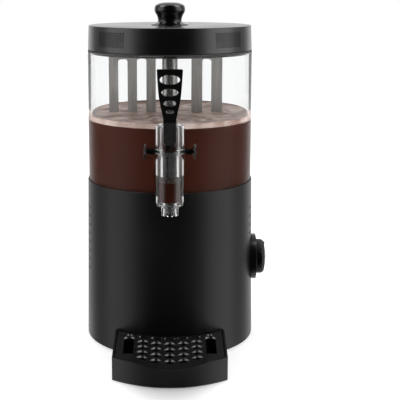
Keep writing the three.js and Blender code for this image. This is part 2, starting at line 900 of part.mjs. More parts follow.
function columnTube() {
  const low = column_flange_bottom;
  return turned([
    [column_inner_radius, column_bottom],
    [column_radius, column_bottom],
    [column_radius, low],
    [column_flange_radius, low],
    [column_flange_radius, low + column_flange_thickness / 2],
    [column_radius + column_flange_thickness, low + column_flange_thickness],
    [column_radius, low + column_flange_thickness],
    [column_radius, column_top],
    [column_inner_radius, column_top],
  ], middle_sides);
}

function columnGasket() {
  const low = bowl_inside_floor + seat_gap;
  const high = low + column_gasket_thickness;
  return ring(column_radius + seat_gap, column_flange_radius, low, high, middle_sides);
}

function columnNut() {
  const high = bowl_bottom - seat_gap;
  const low = high - column_nut_height;
  const hex = barZ(column_nut_radius, low, high, hex_sides);
  return cut(hex, barZ(column_radius + seat_gap, low - overrun, high + overrun, middle_sides));
}

function columnBush(low) {
  return ring(shaft_radius + seat_gap, column_inner_radius - seat_gap, low, low + bush_length, small_sides);
}

// Stirrer: a comb of upright slats cut from one sheet, with a hub over the column
function slatPlaces() {
  const left = [];
  for (let i = left_slat_count - 1; i >= 0; i -= 1) {
    left.push(-left_slat_radius - i * left_slat_pitch);
  }
  const right = [];
  for (let i = 0; i < right_slat_count; i += 1) {
    right.push(right_slat_radius + i * right_slat_pitch);
  }
  return { left, right };
}

function combOutline() {
  const { left, right } = slatPlaces();
  const slats = [
    ...left.map((x) => [x - left_slat_width / 2, x + left_slat_width / 2]),
    ...right.map((x) => [x - right_slat_width / 2, x + right_slat_width / 2]),
  ];
  const archTop = hub_bottom + stirrer_hub_height / 4;
  const combTop = hub_top - stirrer_hub_height / 4;
  const reach = left_slat_radius + (left_slat_count - 1) * left_slat_pitch + left_slat_width / 2;
  const armBottom = (x) => arm_bottom_height - arm_droop * Math.abs(x) / reach;
  const outline = new THREE.Shape();
  const [tipLeft] = slats[0];
  const tipRight = slats[slats.length - 1][1];
  const innerLeft = slats[left.length - 1][1];
  const innerRight = slats[left.length][0];
  outline.moveTo(tipLeft, arm_top_height - slat_corner);
  slats.forEach(([low, high], i) => {
    outline.lineTo(low, slat_bottom_height + slat_corner);
    outline.lineTo(low + slat_corner, slat_bottom_height);
    outline.lineTo(high - slat_corner, slat_bottom_height);
    outline.lineTo(high, slat_bottom_height + slat_corner);
    if (i === left.length - 1) {
      outline.lineTo(high, archTop - slat_corner);
      outline.quadraticCurveTo(high, archTop, high + slat_corner, archTop);
      outline.lineTo(innerRight - slat_corner, archTop);
      outline.quadraticCurveTo(innerRight, archTop, innerRight, archTop - slat_corner);
    } else if (i < slats.length - 1) {
      const next = slats[i + 1][0];
      outline.lineTo(high, armBottom(high) - slat_corner);
      outline.quadraticCurveTo(high, armBottom(high), high + slat_corner, armBottom(high));
      outline.lineTo(next - slat_corner, armBottom(next));
      outline.quadraticCurveTo(next, armBottom(next), next, armBottom(next) - slat_corner);
    }
  });
  outline.lineTo(tipRight, arm_top_height - slat_corner);
  outline.lineTo(tipRight - slat_corner, arm_top_height);
  outline.lineTo(innerRight, arm_top_height);
  outline.lineTo(stirrer_hub_radius, combTop);
  outline.lineTo(-stirrer_hub_radius, combTop);
  outline.lineTo(innerLeft, arm_top_height);
  outline.lineTo(tipLeft + slat_corner, arm_top_height);
  outline.closePath();
  return outline;
}

function stirrer() {
  const sheet = upright(combOutline(), stirrer_thickness / 2);
  const hub = barZ(stirrer_hub_radius, hub_bottom, hub_top, middle_sides);
  return cut(join(sheet, hub), flattedBore(hub_bottom - overrun, hub_top + overrun));
}

function stirrerNut() {
  const dome_share = 0.7;
  const top = nut_bottom + stirrer_nut_height;
  return cut(turned([
    [0, nut_bottom],
    [stirrer_nut_radius, nut_bottom],
    [stirrer_nut_radius, nut_bottom + stirrer_nut_height / 2],
    [stirrer_nut_radius * dome_share, top],
    [0, top],
  ], tiny_sides), flattedBore(nut_bottom - overrun, top + overrun));
}

// Lid
function lidMesh(side) {
  const tools = [];
  for (let row = 0; row < mesh_rows; row += 1) {
    for (let column = 0; column < mesh_columns; column += 1) {
      const place = column + (row % 2) / 2;
      const angle = side * (mesh_first_angle + place * mesh_angle_pitch);
      const through = [-lid_radius - overrun / 2, overrun / 2 - lid_radius + lid_wall / 2];
      const hole = barY(mesh_hole_radius, ...through, mesh_sides);
      tools.push(moved(spun(hole, angle), 0, 0, mesh_low_height + row * mesh_row_pitch));
    }
  }
  return tools;
}

function lidShell() {
  const collarOuter = bowl_inner_radius - lid_collar_gap;
  const collarInner = collarOuter - lid_collar_wall;
  const ledgeTop = ledge_bottom + lid_ledge_thickness;
  const wallInner = lid_radius - lid_wall;
  const topRadius = lid_radius - lid_taper;
  const shell = turned([
    [lid_screw_radius + running_gap, lid_top_height - lid_wall],
    [topRadius - lid_wall, lid_top_height - lid_wall],
    [wallInner, ledgeTop],
    [wallInner - lid_ledge_width, ledgeTop],
    [wallInner - lid_ledge_width, ledge_bottom],
    [collarInner, ledge_bottom],
    [collarInner, lid_bottom],
    [collarOuter, lid_bottom],
    [collarOuter, ledge_bottom],
    [lid_radius, ledge_bottom],
    [topRadius, lid_top_height - lid_edge],
    [topRadius - lid_edge, lid_top_height],
    [lid_screw_radius + running_gap, lid_top_height],
  ]);
  return cut(shell, ...lidMesh(-1), ...lidMesh(1));
}

function lidSeal() {
  const high = seal_bottom + lid_seal_thickness;
  return ring(bowl_inner_radius + seat_gap, bowl_radius - seat_gap, seal_bottom, high);
}

// Lid knob: radius and height shares from its foot to its crown
function lidKnob() {
  const foot = lid_top_height + seat_gap;
  const profile_share = [
    [0.93, 0.09], [0.785, 0.14], [0.772, 0.21], [0.795, 0.323], [0.876, 0.461], [0.975, 0.575],
    [1, 0.69], [0.977, 0.783], [0.9, 0.876], [0.61, 0.968],
  ];
  const profile = profile_share.map(([radius_share, height_share]) => [
    radius_share * knob_radius,
    foot + height_share * knob_height,
  ]);
  const crown = foot + knob_height;
  const body = turned([[0, foot], [knob_foot_radius, foot], ...profile, [0, crown]], tap_sides);
  return cut(body, barZ(lid_screw_radius + running_gap, foot - overrun, foot + lid_screw_length, tiny_sides));
}

function knobScrew() {
  const seat = lid_top_height - lid_wall - seat_gap;
  const low = seat - lid_screw_head_height;
  return turned([
    [0, low],
    [lid_screw_head_radius, low],
    [lid_screw_head_radius, seat],
    [lid_screw_radius, seat],
    [lid_screw_radius, seat + lid_screw_length],
    [0, seat + lid_screw_length],
  ], tiny_sides);
}

// Tap body, with Z = 0 at the lever's pivot and Z along the tap's upright axis
function tapBody() {
  const low = -tap_bottom;
  const outer = turned([
    [0, low],
    [tap_radius - tap_chamfer, low],
    [tap_radius, low + tap_chamfer],
    [tap_radius, tap_top - tap_chamfer / 2],
    [tap_radius - tap_chamfer / 2, tap_top],
    [0, tap_top],
  ], tap_sides);
  const wallSide = tap_reach - bowl_radius - seat_gap - tap_gasket_thickness - seat_gap;
  const tailEnd = tap_reach - bowl_inner_radius + tail_length;
  const branch = barY(inlet_radius, 0, wallSide, middle_sides);
  const flange = barY(tap_flange_radius, wallSide - tap_flange_thickness, wallSide, middle_sides);
  const tail = barY(tail_radius, 0, tailEnd, middle_sides);
  const inlet = moved(join(branch, flange, tail), 0, 0, -inlet_drop);
  const bosses = barX(boss_radius, -boss_reach, boss_reach, middle_sides);
  const bore = barZ(tap_bore_radius, low + tap_floor, tap_top + overrun, middle_sides);
  const outlet = barZ(outlet_radius, low - overrun, low + tap_floor + overrun, small_sides);
  const seat = low + nozzle_neck_height + seat_gap;
  const counterbore = barZ(nozzle_neck_radius + seat_gap, low - overrun, seat, small_sides);
  const passage = moved(barY(inlet_bore_radius, 0, tap_reach, small_sides), 0, 0, -inlet_drop);
  const pinHole = barX(pivot_radius + seat_gap, -tap_radius * 2, tap_radius * 2, tiny_sides);
  const half = stem_half_width + stem_gap;
  const slot = block([-half, half], [-tap_radius - overrun, 0], [lever_slot_rise, tap_top + overrun]);
  return cut(join(outer, inlet, bosses), bore, outlet, counterbore, passage, pinHole, slot);
}

function tapGasket() {
  const near = tap_reach - bowl_radius - seat_gap - tap_gasket_thickness;
  const pad = barY(tap_flange_radius, near, near + tap_gasket_thickness * 2, middle_sides);
  const hole = barY(tail_radius + seat_gap, 0, tap_reach, middle_sides);
  const span = tap_flange_radius * 2;
  const wall = moved(barZ(bowl_radius + seat_gap, -span, span, round_sides), 0, tap_reach, 0);
  return moved(cut(pad, hole, wall), 0, 0, -inlet_drop);
}

function tapNut() {
  const sag = bowl_inner_radius - Math.sqrt(bowl_inner_radius ** 2 - tap_nut_radius ** 2);
  const near = tap_reach - bowl_inner_radius + sag + seat_gap;
  const hex = barY(tap_nut_radius, near, near + tap_nut_height, hex_sides);
  return moved(cut(hex, barY(tail_radius + seat_gap, 0, tap_reach, middle_sides)), 0, 0, -inlet_drop);
}

function tapNozzle() {
  const top = -tap_bottom - seat_gap;
  const low = top - nozzle_height;
  const body = turned([
    [nozzle_bore_radius, low],
    [nozzle_radius - lever_bevel, low],
    [nozzle_radius, low + lever_bevel * 2],
    [nozzle_radius, top],
    [nozzle_neck_radius, top],
    [nozzle_neck_radius, top + nozzle_neck_height],
    [nozzle_bore_radius, top + nozzle_neck_height],
  ], middle_sides);
  const notches = [];
  for (let i = 0; i < nozzle_lobe_count; i += 1) {
    const angle = (i + 1 / 2) * turn / nozzle_lobe_count / degree;
    const through = [nozzle_bore_radius / 2, nozzle_radius + overrun];
    const notch = barY(nozzle_notch_radius, ...through, tiny_sides);
    notches.push(spun(moved(notch, 0, 0, low), angle));
  }
  return cut(body, ...notches);
}

// Lever outline: half-width shares against height shares, from the stem to the top
function leverOutline() {
  const flare_share = [[0.37, 0], [0.43, 0.12], [0.555, 0.46], [0.68, 0.72], [0.815, 0.86]];
  const spread = lever_half_width - stem_half_width;
  const right = flare_share.map(([height_share, width_share]) => new THREE.Vector2(
    stem_half_width + spread * width_share,
    lever_length * height_share,
  ));
  const top = new THREE.Vector2(lever_half_width, lever_length - lever_bevel);
  const curve = new THREE.SplineCurve([...right, top]).getPoints(curve_steps);
  const low = stem_foot_rise;
  const outline = new THREE.Shape();
  outline.moveTo(-cheek_outer, low);
  outline.lineTo(cheek_outer, low);
  outline.lineTo(cheek_outer, low + stem_foot_height);
  outline.lineTo(stem_half_width, low + stem_foot_height + stem_half_width - cheek_outer);
  curve.forEach((point) => outline.lineTo(point.x, point.y));
  outline.lineTo(lever_half_width - lever_bevel, lever_length);
  outline.lineTo(lever_bevel - lever_half_width, lever_length);
  [...curve].reverse().forEach((point) => outline.lineTo(-point.x, point.y));
  outline.lineTo(-stem_half_width, low + stem_foot_height + stem_half_width - cheek_outer);
  outline.lineTo(-cheek_outer, low + stem_foot_height);
  outline.closePath();
  const hole_share = [
    [0.875, 0.78, 0.0615],
    [0.722, 0.64, 0.049],
    [0.592, 0.487, 0.0375],
    [0.49, 0.31, 0.023],
  ];
  hole_share.forEach(([height_share, width_share, rise_share]) => {
    const half = [lever_half_width * width_share, lever_length * rise_share];
    const hole = new THREE.Path();
    hole.absellipse(0, lever_length * height_share, ...half, 0, turn, false, 0);
    outline.holes.push(hole);
  });
  return outline;
}

function tapLever() {
  const blade = upright(leverOutline(), stem_half_thickness, lever_bevel);
  const cheeks = join(
    barX(cheek_radius, -cheek_outer, -cheek_inner),
    barX(cheek_radius, cheek_inner, cheek_outer),
  );
  const crank = moved(barX(crank_radius, -cheek_outer, cheek_outer, tiny_sides), 0, crank_offset, 0);
  const pinHole = barX(pivot_radius + seat_gap, -cheek_outer * 2, cheek_outer * 2, small_sides);
  return cut(join(blade, cheeks, crank), pinHole);
}

function pivotPin() {
  const reach = boss_reach + seat_gap + spring_length + seat_gap + pin_cap_thickness / 2;
  return barX(pivot_radius, -reach, reach, small_sides);
}

function pinCap(side) {
  const inner = boss_reach + seat_gap + spring_length + seat_gap;
  const outer = inner + pin_cap_thickness;
  const hub = pivot_radius + seat_gap;
  const body = turned([
    [0, outer - pin_cap_rim],
    [hub, outer - pin_cap_rim],
    [pin_cap_radius - pin_cap_rim, outer - pin_cap_rim],
    [pin_cap_radius - pin_cap_rim, outer],
    [pin_cap_radius, outer],
    [pin_cap_radius, inner],
    [hub, inner],
    [hub, inner + pin_cap_thickness / 2 + seat_gap],
    [0, inner + pin_cap_thickness / 2 + seat_gap],
  ], middle_sides);
  return body.rotate([0, side * quarter_turn, 0]);
}

// Torsion spring round the pivot, one unbroken wire with both ends cut square
function torsionSpring(side) {
  const steps_per_turn = 8;
  const steps = spring_turns * steps_per_turn;
  const start = boss_reach + seat_gap + spring_wire_radius;
  const travel = spring_length - spring_wire_radius * 2;
  const points = [];
  for (let i = 0; i <= steps; i += 1) {
    const angle = turn * i / steps_per_turn;
    const along = start + travel * i / steps;
    const [y, z] = [Math.cos(angle) * spring_radius, Math.sin(angle) * spring_radius];
    points.push(new THREE.Vector3(side * along, y, z));
  }
  return coilTube(points, spring_wire_radius, spring_sides);
}

// A tube through points, with each section square to the run and its ends closed
function coilTube(points, radius, sides) {
  const positions = [];
  const triangles = [];
  const frame = new THREE.Vector3();
  points.forEach((point, i) => {
    const before = points[Math.max(i - 1, 0)];
    const after = points[Math.min(i + 1, points.length - 1)];
    const run = new THREE.Vector3().subVectors(after, before).normalize();
    frame.set(0, point.y, point.z).normalize();
    const outward = frame.clone().addScaledVector(run, -frame.dot(run)).normalize();
    const sideways = new THREE.Vector3().crossVectors(run, outward);
    for (let s = 0; s < sides; s += 1) {
      const angle = turn * s / sides;
      const corner = point.clone()
        .addScaledVector(outward, Math.cos(angle) * radius)
        .addScaledVector(sideways, Math.sin(angle) * radius);
      positions.push(corner.x, corner.y, corner.z);
    }
  });
  for (let i = 0; i < points.length - 1; i += 1) {
    for (let s = 0; s < sides; s += 1) {
      const [a, b] = [i * sides + s, i * sides + (s + 1) % sides];
      const [c, d] = [a + sides, b + sides];
      triangles.push(a, b, d, a, d, c);
    }
  }
  const last = (points.length - 1) * sides;
  for (let s = 1; s < sides - 1; s += 1) {
    triangles.push(0, s + 1, s, last, last + s, last + s + 1);
  }
  const geometry = new THREE.BufferGeometry();
  geometry.setAttribute('position', new THREE.Float32BufferAttribute(positions, 3));
  geometry.setIndex(triangles);
  return solid(geometry);
}

// The coil's least gap to itself, along the run of one turn
function springGap() {
  const pitch = (spring_length - spring_wire_radius * 2) / spring_turns;
  return pitch - spring_wire_radius * 2;
}

// Piston: a slotted guide with a blade that the crank lifts, a ring groove,
// and a rod down to the outlet plug
function piston() {
  const top = -piston_guide_top;
  const guideBottom = -piston_guide_bottom;
  const landTop = guideBottom - piston_groove_height;
  const landBottom = landTop - piston_land_height;
  const rodBottom = -tap_bottom + tap_floor + plug_height / 2;
  const grooveRadius = piston_radius - piston_groove_height / 2;
  const body = turned([
    [0, rodBottom],
    [piston_rod_radius, rodBottom],
    [piston_rod_radius, landBottom],
    [piston_radius, landBottom],
    [piston_radius, landTop],
    [grooveRadius, landTop],
    [grooveRadius, guideBottom],
    [piston_radius, guideBottom],
    [piston_radius, top],
    [0, top],
  ], middle_sides);
  const slots = [];
  for (let i = 0; i < guide_slot_count; i += 1) {
    const wide = [-guide_slot_width / 2, guide_slot_width / 2];
    const deep = [piston_radius - guide_slot_depth, piston_radius * 2];
    const slot = block(wide, deep, [guideBottom + piston_land_height, overrun]);
    slots.push(spun(slot, (i + 1 / 2) * turn / guide_slot_count / degree));
  }
  const cheekRoom = barX(cheek_radius + running_gap, -cheek_recess_reach, cheek_recess_reach);
  const recess = moved(cheekRoom, 0, 0, -piston_travel);
  const bladeFront = pivot_radius + running_gap * 2;
  const bladeFoot = top - piston_travel - overrun;
  const bladeWide = [-blade_half_width, blade_half_width];
  const blade = block(bladeWide, [bladeFront, blade_back], [bladeFoot, blade_top]);
  const slotBack = crank_offset + crank_radius + running_gap / 2;
  const slotHeight = [-blade_slot_half_height, blade_slot_half_height];
  const crankSlot = block([-piston_radius, piston_radius], [0, slotBack], slotHeight);
  const roundedBlade = blade.intersect(barZ(piston_radius, -tap_bottom, blade_top, middle_sides));
  return join(cut(body, ...slots, recess), cut(roundedBlade, crankSlot));
}

function pistonRing() {
  const low = -piston_guide_bottom - piston_groove_height + seat_gap;
  const high = -piston_guide_bottom - seat_gap;
  const inner = piston_radius - piston_groove_height / 2 + seat_gap;
  const outer = tap_bore_radius - seat_gap / 2;
  const crown = (inner + outer) / 2;
  return turned([
    [inner, low],
    [inner, high],
    [crown, high],
    [outer, (low + high) / 2],
    [crown, low],
  ], middle_sides);
}

function outletPlug() {
  const seat = -tap_bottom + tap_floor + seat_gap;
  return turned([
    [0, seat - plug_nose_height],
    [plug_nose_radius, seat - plug_nose_height],
    [plug_nose_radius + seat_gap, seat],
    [plug_radius, seat],
    [plug_radius, seat + plug_height / 2],
    [plug_nose_radius, seat + plug_height],
    [piston_rod_radius + seat_gap, seat + plug_height],
    [piston_rod_radius + seat_gap, seat + plug_height / 2 - seat_gap * 2],
    [0, seat + plug_height / 2 - seat_gap * 2],
  ], small_sides);
}

// Tray outline seen from above, moved in from its walls by the given amounts
function trayFront() {
  const sag = tray_front_reach - tray_corner_reach;
  const radius = (tray_half_width ** 2 + sag ** 2) / (2 * sag);
  return { radius, middle: tray_front_reach - radius };
}

function trayOutline(side, back, front) {
  const half = tray_half_width - side;
  const backRadius = tray_back_radius + back;
  const { radius, middle } = trayFront();
  const frontRadius = radius - front;
  const backAngle = Math.asin(half / backRadius);
  const frontAngle = Math.asin(half / frontRadius);
  const outline = new THREE.Shape();
  const steps = tiny_sides * 2;
  for (let i = 0; i <= steps; i += 1) {
    const angle = -frontAngle + frontAngle * 2 * i / steps;
    const [x, y] = [Math.sin(angle) * frontRadius, -middle - Math.cos(angle) * frontRadius];
    if (i === 0) outline.moveTo(x, y);
    else outline.lineTo(x, y);
  }
  for (let i = 0; i <= steps; i += 1) {
    const angle = backAngle - backAngle * 2 * i / steps;
    outline.lineTo(Math.sin(angle) * backRadius, -Math.cos(angle) * backRadius);
  }
  outline.closePath();
  return outline;
}

// Height of the tray's top: a gentle fall to the front and a dip in the middle
function trayTop(x, y) {
  const plane = tray_top_height + tray_fall_share * (y + base_top_radius);
  const share = Math.min(Math.max((-y - tray_back_radius) / (tray_front_reach - tray_back_radius), 0), 1);
  const dip = Math.max(1 - (x / tray_dip_half_width) ** 2, 0);
  return plane - tray_dip * dip * share;
}

// A slab that follows the tray's top between two offsets from it
function topSlab(below, above) {
  const across = [-tray_half_width - overrun];
  for (let i = -dip_columns; i <= dip_columns; i += 1) {
    across.push(tray_dip_half_width * i / dip_columns);
  }
  across.push(tray_half_width + overrun);
  const along = [-tray_back_radius / 2];
  const fall = tray_front_reach + overrun - tray_back_radius;
  for (let i = 0; i <= dip_rows; i += 1) {
    along.push(-tray_back_radius - fall * i / dip_rows);
  }
  const positions = [];
  [below, above].forEach((offset) => {
    along.forEach((y) => across.forEach((x) => positions.push(x, y, trayTop(x, y) + offset)));
  });
  const width = across.length;
  const layer = width * along.length;
  const triangles = [];
  const quad = (a, b, c, d) => triangles.push(a, b, c, a, c, d);
  for (let r = 0; r < along.length - 1; r += 1) {
    for (let c = 0; c < width - 1; c += 1) {
      const a = r * width + c;
      quad(a, a + 1, a + width + 1, a + width);
      quad(layer + a, layer + a + width, layer + a + width + 1, layer + a + 1);
    }
  }
  for (let c = 0; c < width - 1; c += 1) {
    quad(c, layer + c, layer + c + 1, c + 1);
    const e = (along.length - 1) * width + c;
    quad(e, e + 1, layer + e + 1, layer + e);
  }
  for (let r = 0; r < along.length - 1; r += 1) {
    const a = r * width;
    quad(a, a + width, layer + a + width, layer + a);
    const e = a + width - 1;
    quad(e, layer + e, layer + e + width, e + width);
  }
  const geometry = new THREE.BufferGeometry();
  geometry.setAttribute('position', new THREE.Float32BufferAttribute(positions, 3));
  geometry.setIndex(triangles);
  return solid(geometry);
}

function dripTray() {
  const height = tray_top_height + tray_bottom;
  const block_top = height * 2;
  const outer = raised(trayOutline(0, 0, 0), -tray_bottom, block_top);
  const sideInset = tray_wall + tray_side_gap + tray_ledge;
  const wellInset = tray_wall + tray_ledge;
  const well = raised(trayOutline(sideInset, wellInset, wellInset), tray_floor - tray_bottom, block_top);
  const rebate = raised(trayOutline(tray_wall, tray_wall, tray_wall), tray_floor, block_top);
  const seat = -grille_thickness - seat_gap;
  const aboveSeat = topSlab(seat, block_top);
  const aboveTop = topSlab(0, block_top);
  const tongues = [-1, 1].map((side) => {
    const middle = side * tongue_offset;
    const depth = [-tray_back_radius - tray_wall / 2, -tray_back_radius + tongue_length];
    const wide = [middle - tongue_width / 2, middle + tongue_width / 2];
    return block(wide, depth, [tongue_rise, tongue_rise + tongue_height]);
  });
  return join(cut(outer, well, rebate.intersect(aboveSeat), aboveTop), ...tongues);
}

// A scale-shaped hole: a high arc at the back and a flatter one at the front
function scaleHole(x, y, share) {
  const half = scale_half_width * share;
  const outline = new THREE.Shape();
  outline.moveTo(x - half, y);
  outline.quadraticCurveTo(x, y - scale_front_rise * 2 * share, x + half, y);
  outline.quadraticCurveTo(x, y + scale_back_rise * 2 * share, x - half, y);
  return raised(outline, -tray_bottom, tray_top_height * 2, scale_arc_steps);
}

function longSlot(x) {
  const outline = new THREE.Shape();
  outline.moveTo(x - slot_half_width, -slot_near_reach);
  outline.lineTo(x - slot_half_width, -slot_far_reach);
  outline.lineTo(x + slot_half_width, -slot_far_reach);
  outline.lineTo(x + slot_half_width, -slot_near_reach);
  outline.quadraticCurveTo(x, -slot_near_reach + scale_back_rise, x - slot_half_width, -slot_near_reach);
  return raised(outline, -tray_bottom, tray_top_height * 2, scale_arc_steps);
}

function grilleHoles() {
  const tools = [];
  for (let column = 0; column < scale_columns; column += 1) {
    const x = (column - (scale_columns - 1) / 2) * scale_column_pitch;
    const sag = scale_first_reach - Math.sqrt(scale_first_reach ** 2 - x ** 2);
    for (let row = 0; row < scale_rows; row += 1) {
      tools.push(scaleHole(x, -scale_first_reach - row * scale_row_pitch + sag, 1));
    }
  }
  [-1, 1].forEach((side) => {
    tools.push(scaleHole(side * slot_column, -corner_scale_reach, corner_scale_share));
    tools.push(longSlot(side * slot_column));
  });
  return tools;
}

function trayGrille() {
  const inset = tray_wall + running_gap;
  const plate = raised(trayOutline(tray_wall + tray_side_gap, inset, inset), 0, tray_top_height * 2);
  return cut(plate.intersect(topSlab(-grille_thickness, 0)), ...grilleHoles());
}

// Assembly
const dispenser = new THREE.Group();
dispenser.name = 'hot_drink_dispenser';

const base_group = new THREE.Group();
dispenser.add(base_group);
add(base_group, 'base_casing', baseCasing(), black_casing);
add(base_group, 'base_plate', basePlate(), steel);
footAngles().forEach((angle, i) => {
  const corner = new THREE.Group();
  corner.position.setFromCylindricalCoords(foot_ring_radius, angle * degree, 0);
  corner.position.set(corner.position.z, corner.position.x, 0);
  base_group.add(corner);
  add(corner, `foot_${i + 1}`, foot(), rubber_black);
  add(corner, `foot_screw_${i + 1}`, footScrew(), steel);
});
const gasket_radii = [heater_radius + seat_gap, rim_inner_radius - seat_gap];
add(base_group, 'bowl_gasket', ring(...gasket_radii, heater_bottom, heater_top), seal_grey);
const plate_radii = [heater_hole_radius, heater_radius];
add(base_group, 'heating_plate', ring(...plate_radii, heater_bottom, heater_top), aluminium);
add(base_group, 'heating_element', heatingElement(), steel);
add(base_group, 'motor_bracket', motorBracket(), steel);
add(base_group, 'gearbox', gearbox(), aluminium);
add(base_group, 'motor', motorCan(), steel);
[-1, 1].forEach((side, i) => {
  add(base_group, `motor_screw_${i + 1}`, motorScrew(), steel).position.x = side * ear_reach;
});

const dial_group = new THREE.Group();
dial_group.position.z = dial_height;
dispenser.add(dial_group);
add(dial_group, 'thermostat', thermostatBody(), black_plastic);
add(dial_group, 'dial_bezel', dialBezel(), black_plastic);
add(dial_group, 'thermostat_spindle', spindle(), brass);
add(dial_group, 'thermostat_dial', thermostatDial(), black_plastic);

const rear_group = new THREE.Group();
rear_group.position.z = rear_fitting_height;
dispenser.add(rear_group);
add(rear_group, 'mains_inlet', mainsInlet(), black_plastic).position.x = -rear_fitting_offset;
add(rear_group, 'switch_frame', switchFrame(), black_plastic).position.x = rear_fitting_offset;
const rocker = add(rear_group, 'switch_rocker', switchRocker(), black_gloss);
rocker.position.set(rear_fitting_offset, baseRadius(rear_fitting_height) + rear_flange_proud, 0);
rocker.rotation.x = rocker_tilt * degree;

const drive_group = new THREE.Group();
dispenser.add(drive_group);
add(drive_group, 'drive_shaft', driveShaft(), steel);
add(drive_group, 'shaft_coupling', shaftCoupling(), aluminium);

const bowl_group = new THREE.Group();
dispenser.add(bowl_group);
add(bowl_group, 'bowl', bowl(), clear);
add(bowl_group, 'column', columnTube(), steel);
add(bowl_group, 'column_gasket', columnGasket(), seal_grey);
add(bowl_group, 'column_nut', columnNut(), steel);
add(bowl_group, 'column_bush_lower', columnBush(column_bottom), seal_grey);
add(bowl_group, 'column_bush_upper', columnBush(column_top - bush_length), seal_grey);
add(bowl_group, 'stirrer', stirrer(), steel);
add(bowl_group, 'stirrer_nut', stirrerNut(), steel);

const lid_group = new THREE.Group();
dispenser.add(lid_group);
add(lid_group, 'lid', lidShell(), black_gloss);
add(lid_group, 'lid_knob', lidKnob(), black_gloss);
add(lid_group, 'knob_screw', knobScrew(), steel);
add(lid_group, 'lid_seal', lidSeal(), seal_grey);

const tap_group = new THREE.Group();
tap_group.position.set(0, -tap_reach, tap_pivot_height);
dispenser.add(tap_group);
add(tap_group, 'tap_body', tapBody(), clear);
add(tap_group, 'tap_gasket', tapGasket(), seal_grey);
add(tap_group, 'tap_nut', tapNut(), black_plastic);
add(tap_group, 'tap_nozzle', tapNozzle(), clear);
add(tap_group, 'tap_lever', tapLever(), black_gloss);
add(tap_group, 'pivot_pin', pivotPin(), steel);
add(tap_group, 'pin_cap_left', pinCap(-1), clear);
add(tap_group, 'pin_cap_right', pinCap(1), clear);
add(tap_group, 'lever_spring_left', torsionSpring(-1), dark_grey);
add(tap_group, 'lever_spring_right', torsionSpring(1), dark_grey);
add(tap_group, 'piston', piston(), dark_grey);
add(tap_group, 'piston_ring', pistonRing(), rubber_black);
add(tap_group, 'outlet_plug', outletPlug(), rubber_black);
console.log(`least gap between the lever springs' turns: ${springGap().toFixed(2)} mm`);

const tray_group = new THREE.Group();
dispenser.add(tray_group);
add(tray_group, 'drip_tray', dripTray(), black_plastic);
add(tray_group, 'tray_grille', trayGrille(), black_plastic);

export default dispenser;
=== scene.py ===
import math
from itertools import product

import bmesh
import bpy
from mathutils import Matrix, Vector, noise


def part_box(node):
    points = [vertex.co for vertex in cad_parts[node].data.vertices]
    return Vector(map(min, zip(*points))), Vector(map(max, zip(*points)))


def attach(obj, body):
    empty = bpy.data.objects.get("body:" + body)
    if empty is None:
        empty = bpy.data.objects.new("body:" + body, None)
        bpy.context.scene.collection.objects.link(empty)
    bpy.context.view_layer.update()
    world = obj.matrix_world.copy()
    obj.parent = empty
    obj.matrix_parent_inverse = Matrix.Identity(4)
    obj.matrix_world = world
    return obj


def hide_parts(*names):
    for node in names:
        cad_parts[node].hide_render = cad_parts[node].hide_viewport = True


bl_info = {
    "name": "Hot drink dispenser",
    "version": (1, 0, 0),
    "blender": (4, 5, 0),
    "location": "View3D > Sidebar > Dispenser",
    "description": "Builds the visible pieces of a hot drink dispenser round its frame",
    "category": "Object",
}

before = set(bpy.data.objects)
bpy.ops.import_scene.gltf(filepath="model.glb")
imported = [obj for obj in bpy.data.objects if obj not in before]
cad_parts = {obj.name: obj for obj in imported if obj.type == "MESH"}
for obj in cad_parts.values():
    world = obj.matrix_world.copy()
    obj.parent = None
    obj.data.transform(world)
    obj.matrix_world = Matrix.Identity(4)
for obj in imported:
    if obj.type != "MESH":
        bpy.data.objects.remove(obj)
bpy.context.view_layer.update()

# Sizes that several pieces share, in metres

MM = 0.001
FACET_SHARE = math.cos(math.pi / 40)


def low(node):
    """Lowest corner of a frame node"""
    return Vector(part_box(node)[0])


def high(node):
    """Highest corner of a frame node"""
    return Vector(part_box(node)[1])


def middle(node, axis):
    """Middle of a frame node along an axis, 0 to 2"""
    return (high(node)[axis] + low(node)[axis]) / 2


GAP = 0.3 * MM
REACH = 5 * MM
NEAR_AXIS = 0.02 * MM
ON_AXIS = 1e-7

BASE_BOTTOM_RADIUS = high("base_casing").x / FACET_SHARE
BASE_HEIGHT = high("base_casing").z
BASE_TOP_RADIUS = BASE_BOTTOM_RADIUS - 3.5 * MM
BASE_WALL = 2.2 * MM
FOOT_INSET = 0.36 * MM
RIM_WALL = 1.2 * MM
SHELF_TOP = low("heating_plate").z - GAP
SHELF_THICKNESS = 2 * MM
SHELF_WIDTH = 9 * MM

BOWL_RADIUS = high("bowl").x / FACET_SHARE
BOWL_BOTTOM = low("bowl").z
BOWL_TOP = high("bowl").z
BOWL_WALL = 2.5 * MM
BOWL_FLOOR = 3 * MM
BOWL_CORNER = 4 * MM
BOWL_INNER = BOWL_RADIUS - BOWL_WALL
COLUMN_RADIUS = 10 * MM

DIAL_HEIGHT = middle("thermostat_dial", 2)
DIAL_HOLE = 5.4 * MM
TAP_Y = middle("tap_nozzle", 1)
PIVOT_HEIGHT = middle("pivot_pin", 2)
PIN_HOLE = 2.3 * MM
TAP_RADIUS = 16 * MM
TAP_BORE = 8.5 * MM
TAP_BOTTOM = low("tap_body").z
TAP_TOP = high("tap_body").z
BRANCH_HEIGHT = middle("tap_nut", 2)

TONGUE_MIDDLE = 35 * MM
TONGUE_HALF_WIDTH = 5.5 * MM
TONGUE_LOW = 11 * MM
TONGUE_HIGH = 15 * MM


def length(name, description, default):
    """A length that a user may change"""
    return bpy.props.FloatProperty(
        name=name, description=description, default=default, unit="LENGTH"
    )


def colour(name, description, default):
    """A colour that a user may change"""
    return bpy.props.FloatVectorProperty(
        name=name, description=description, default=default, subtype="COLOR", size=3
    )


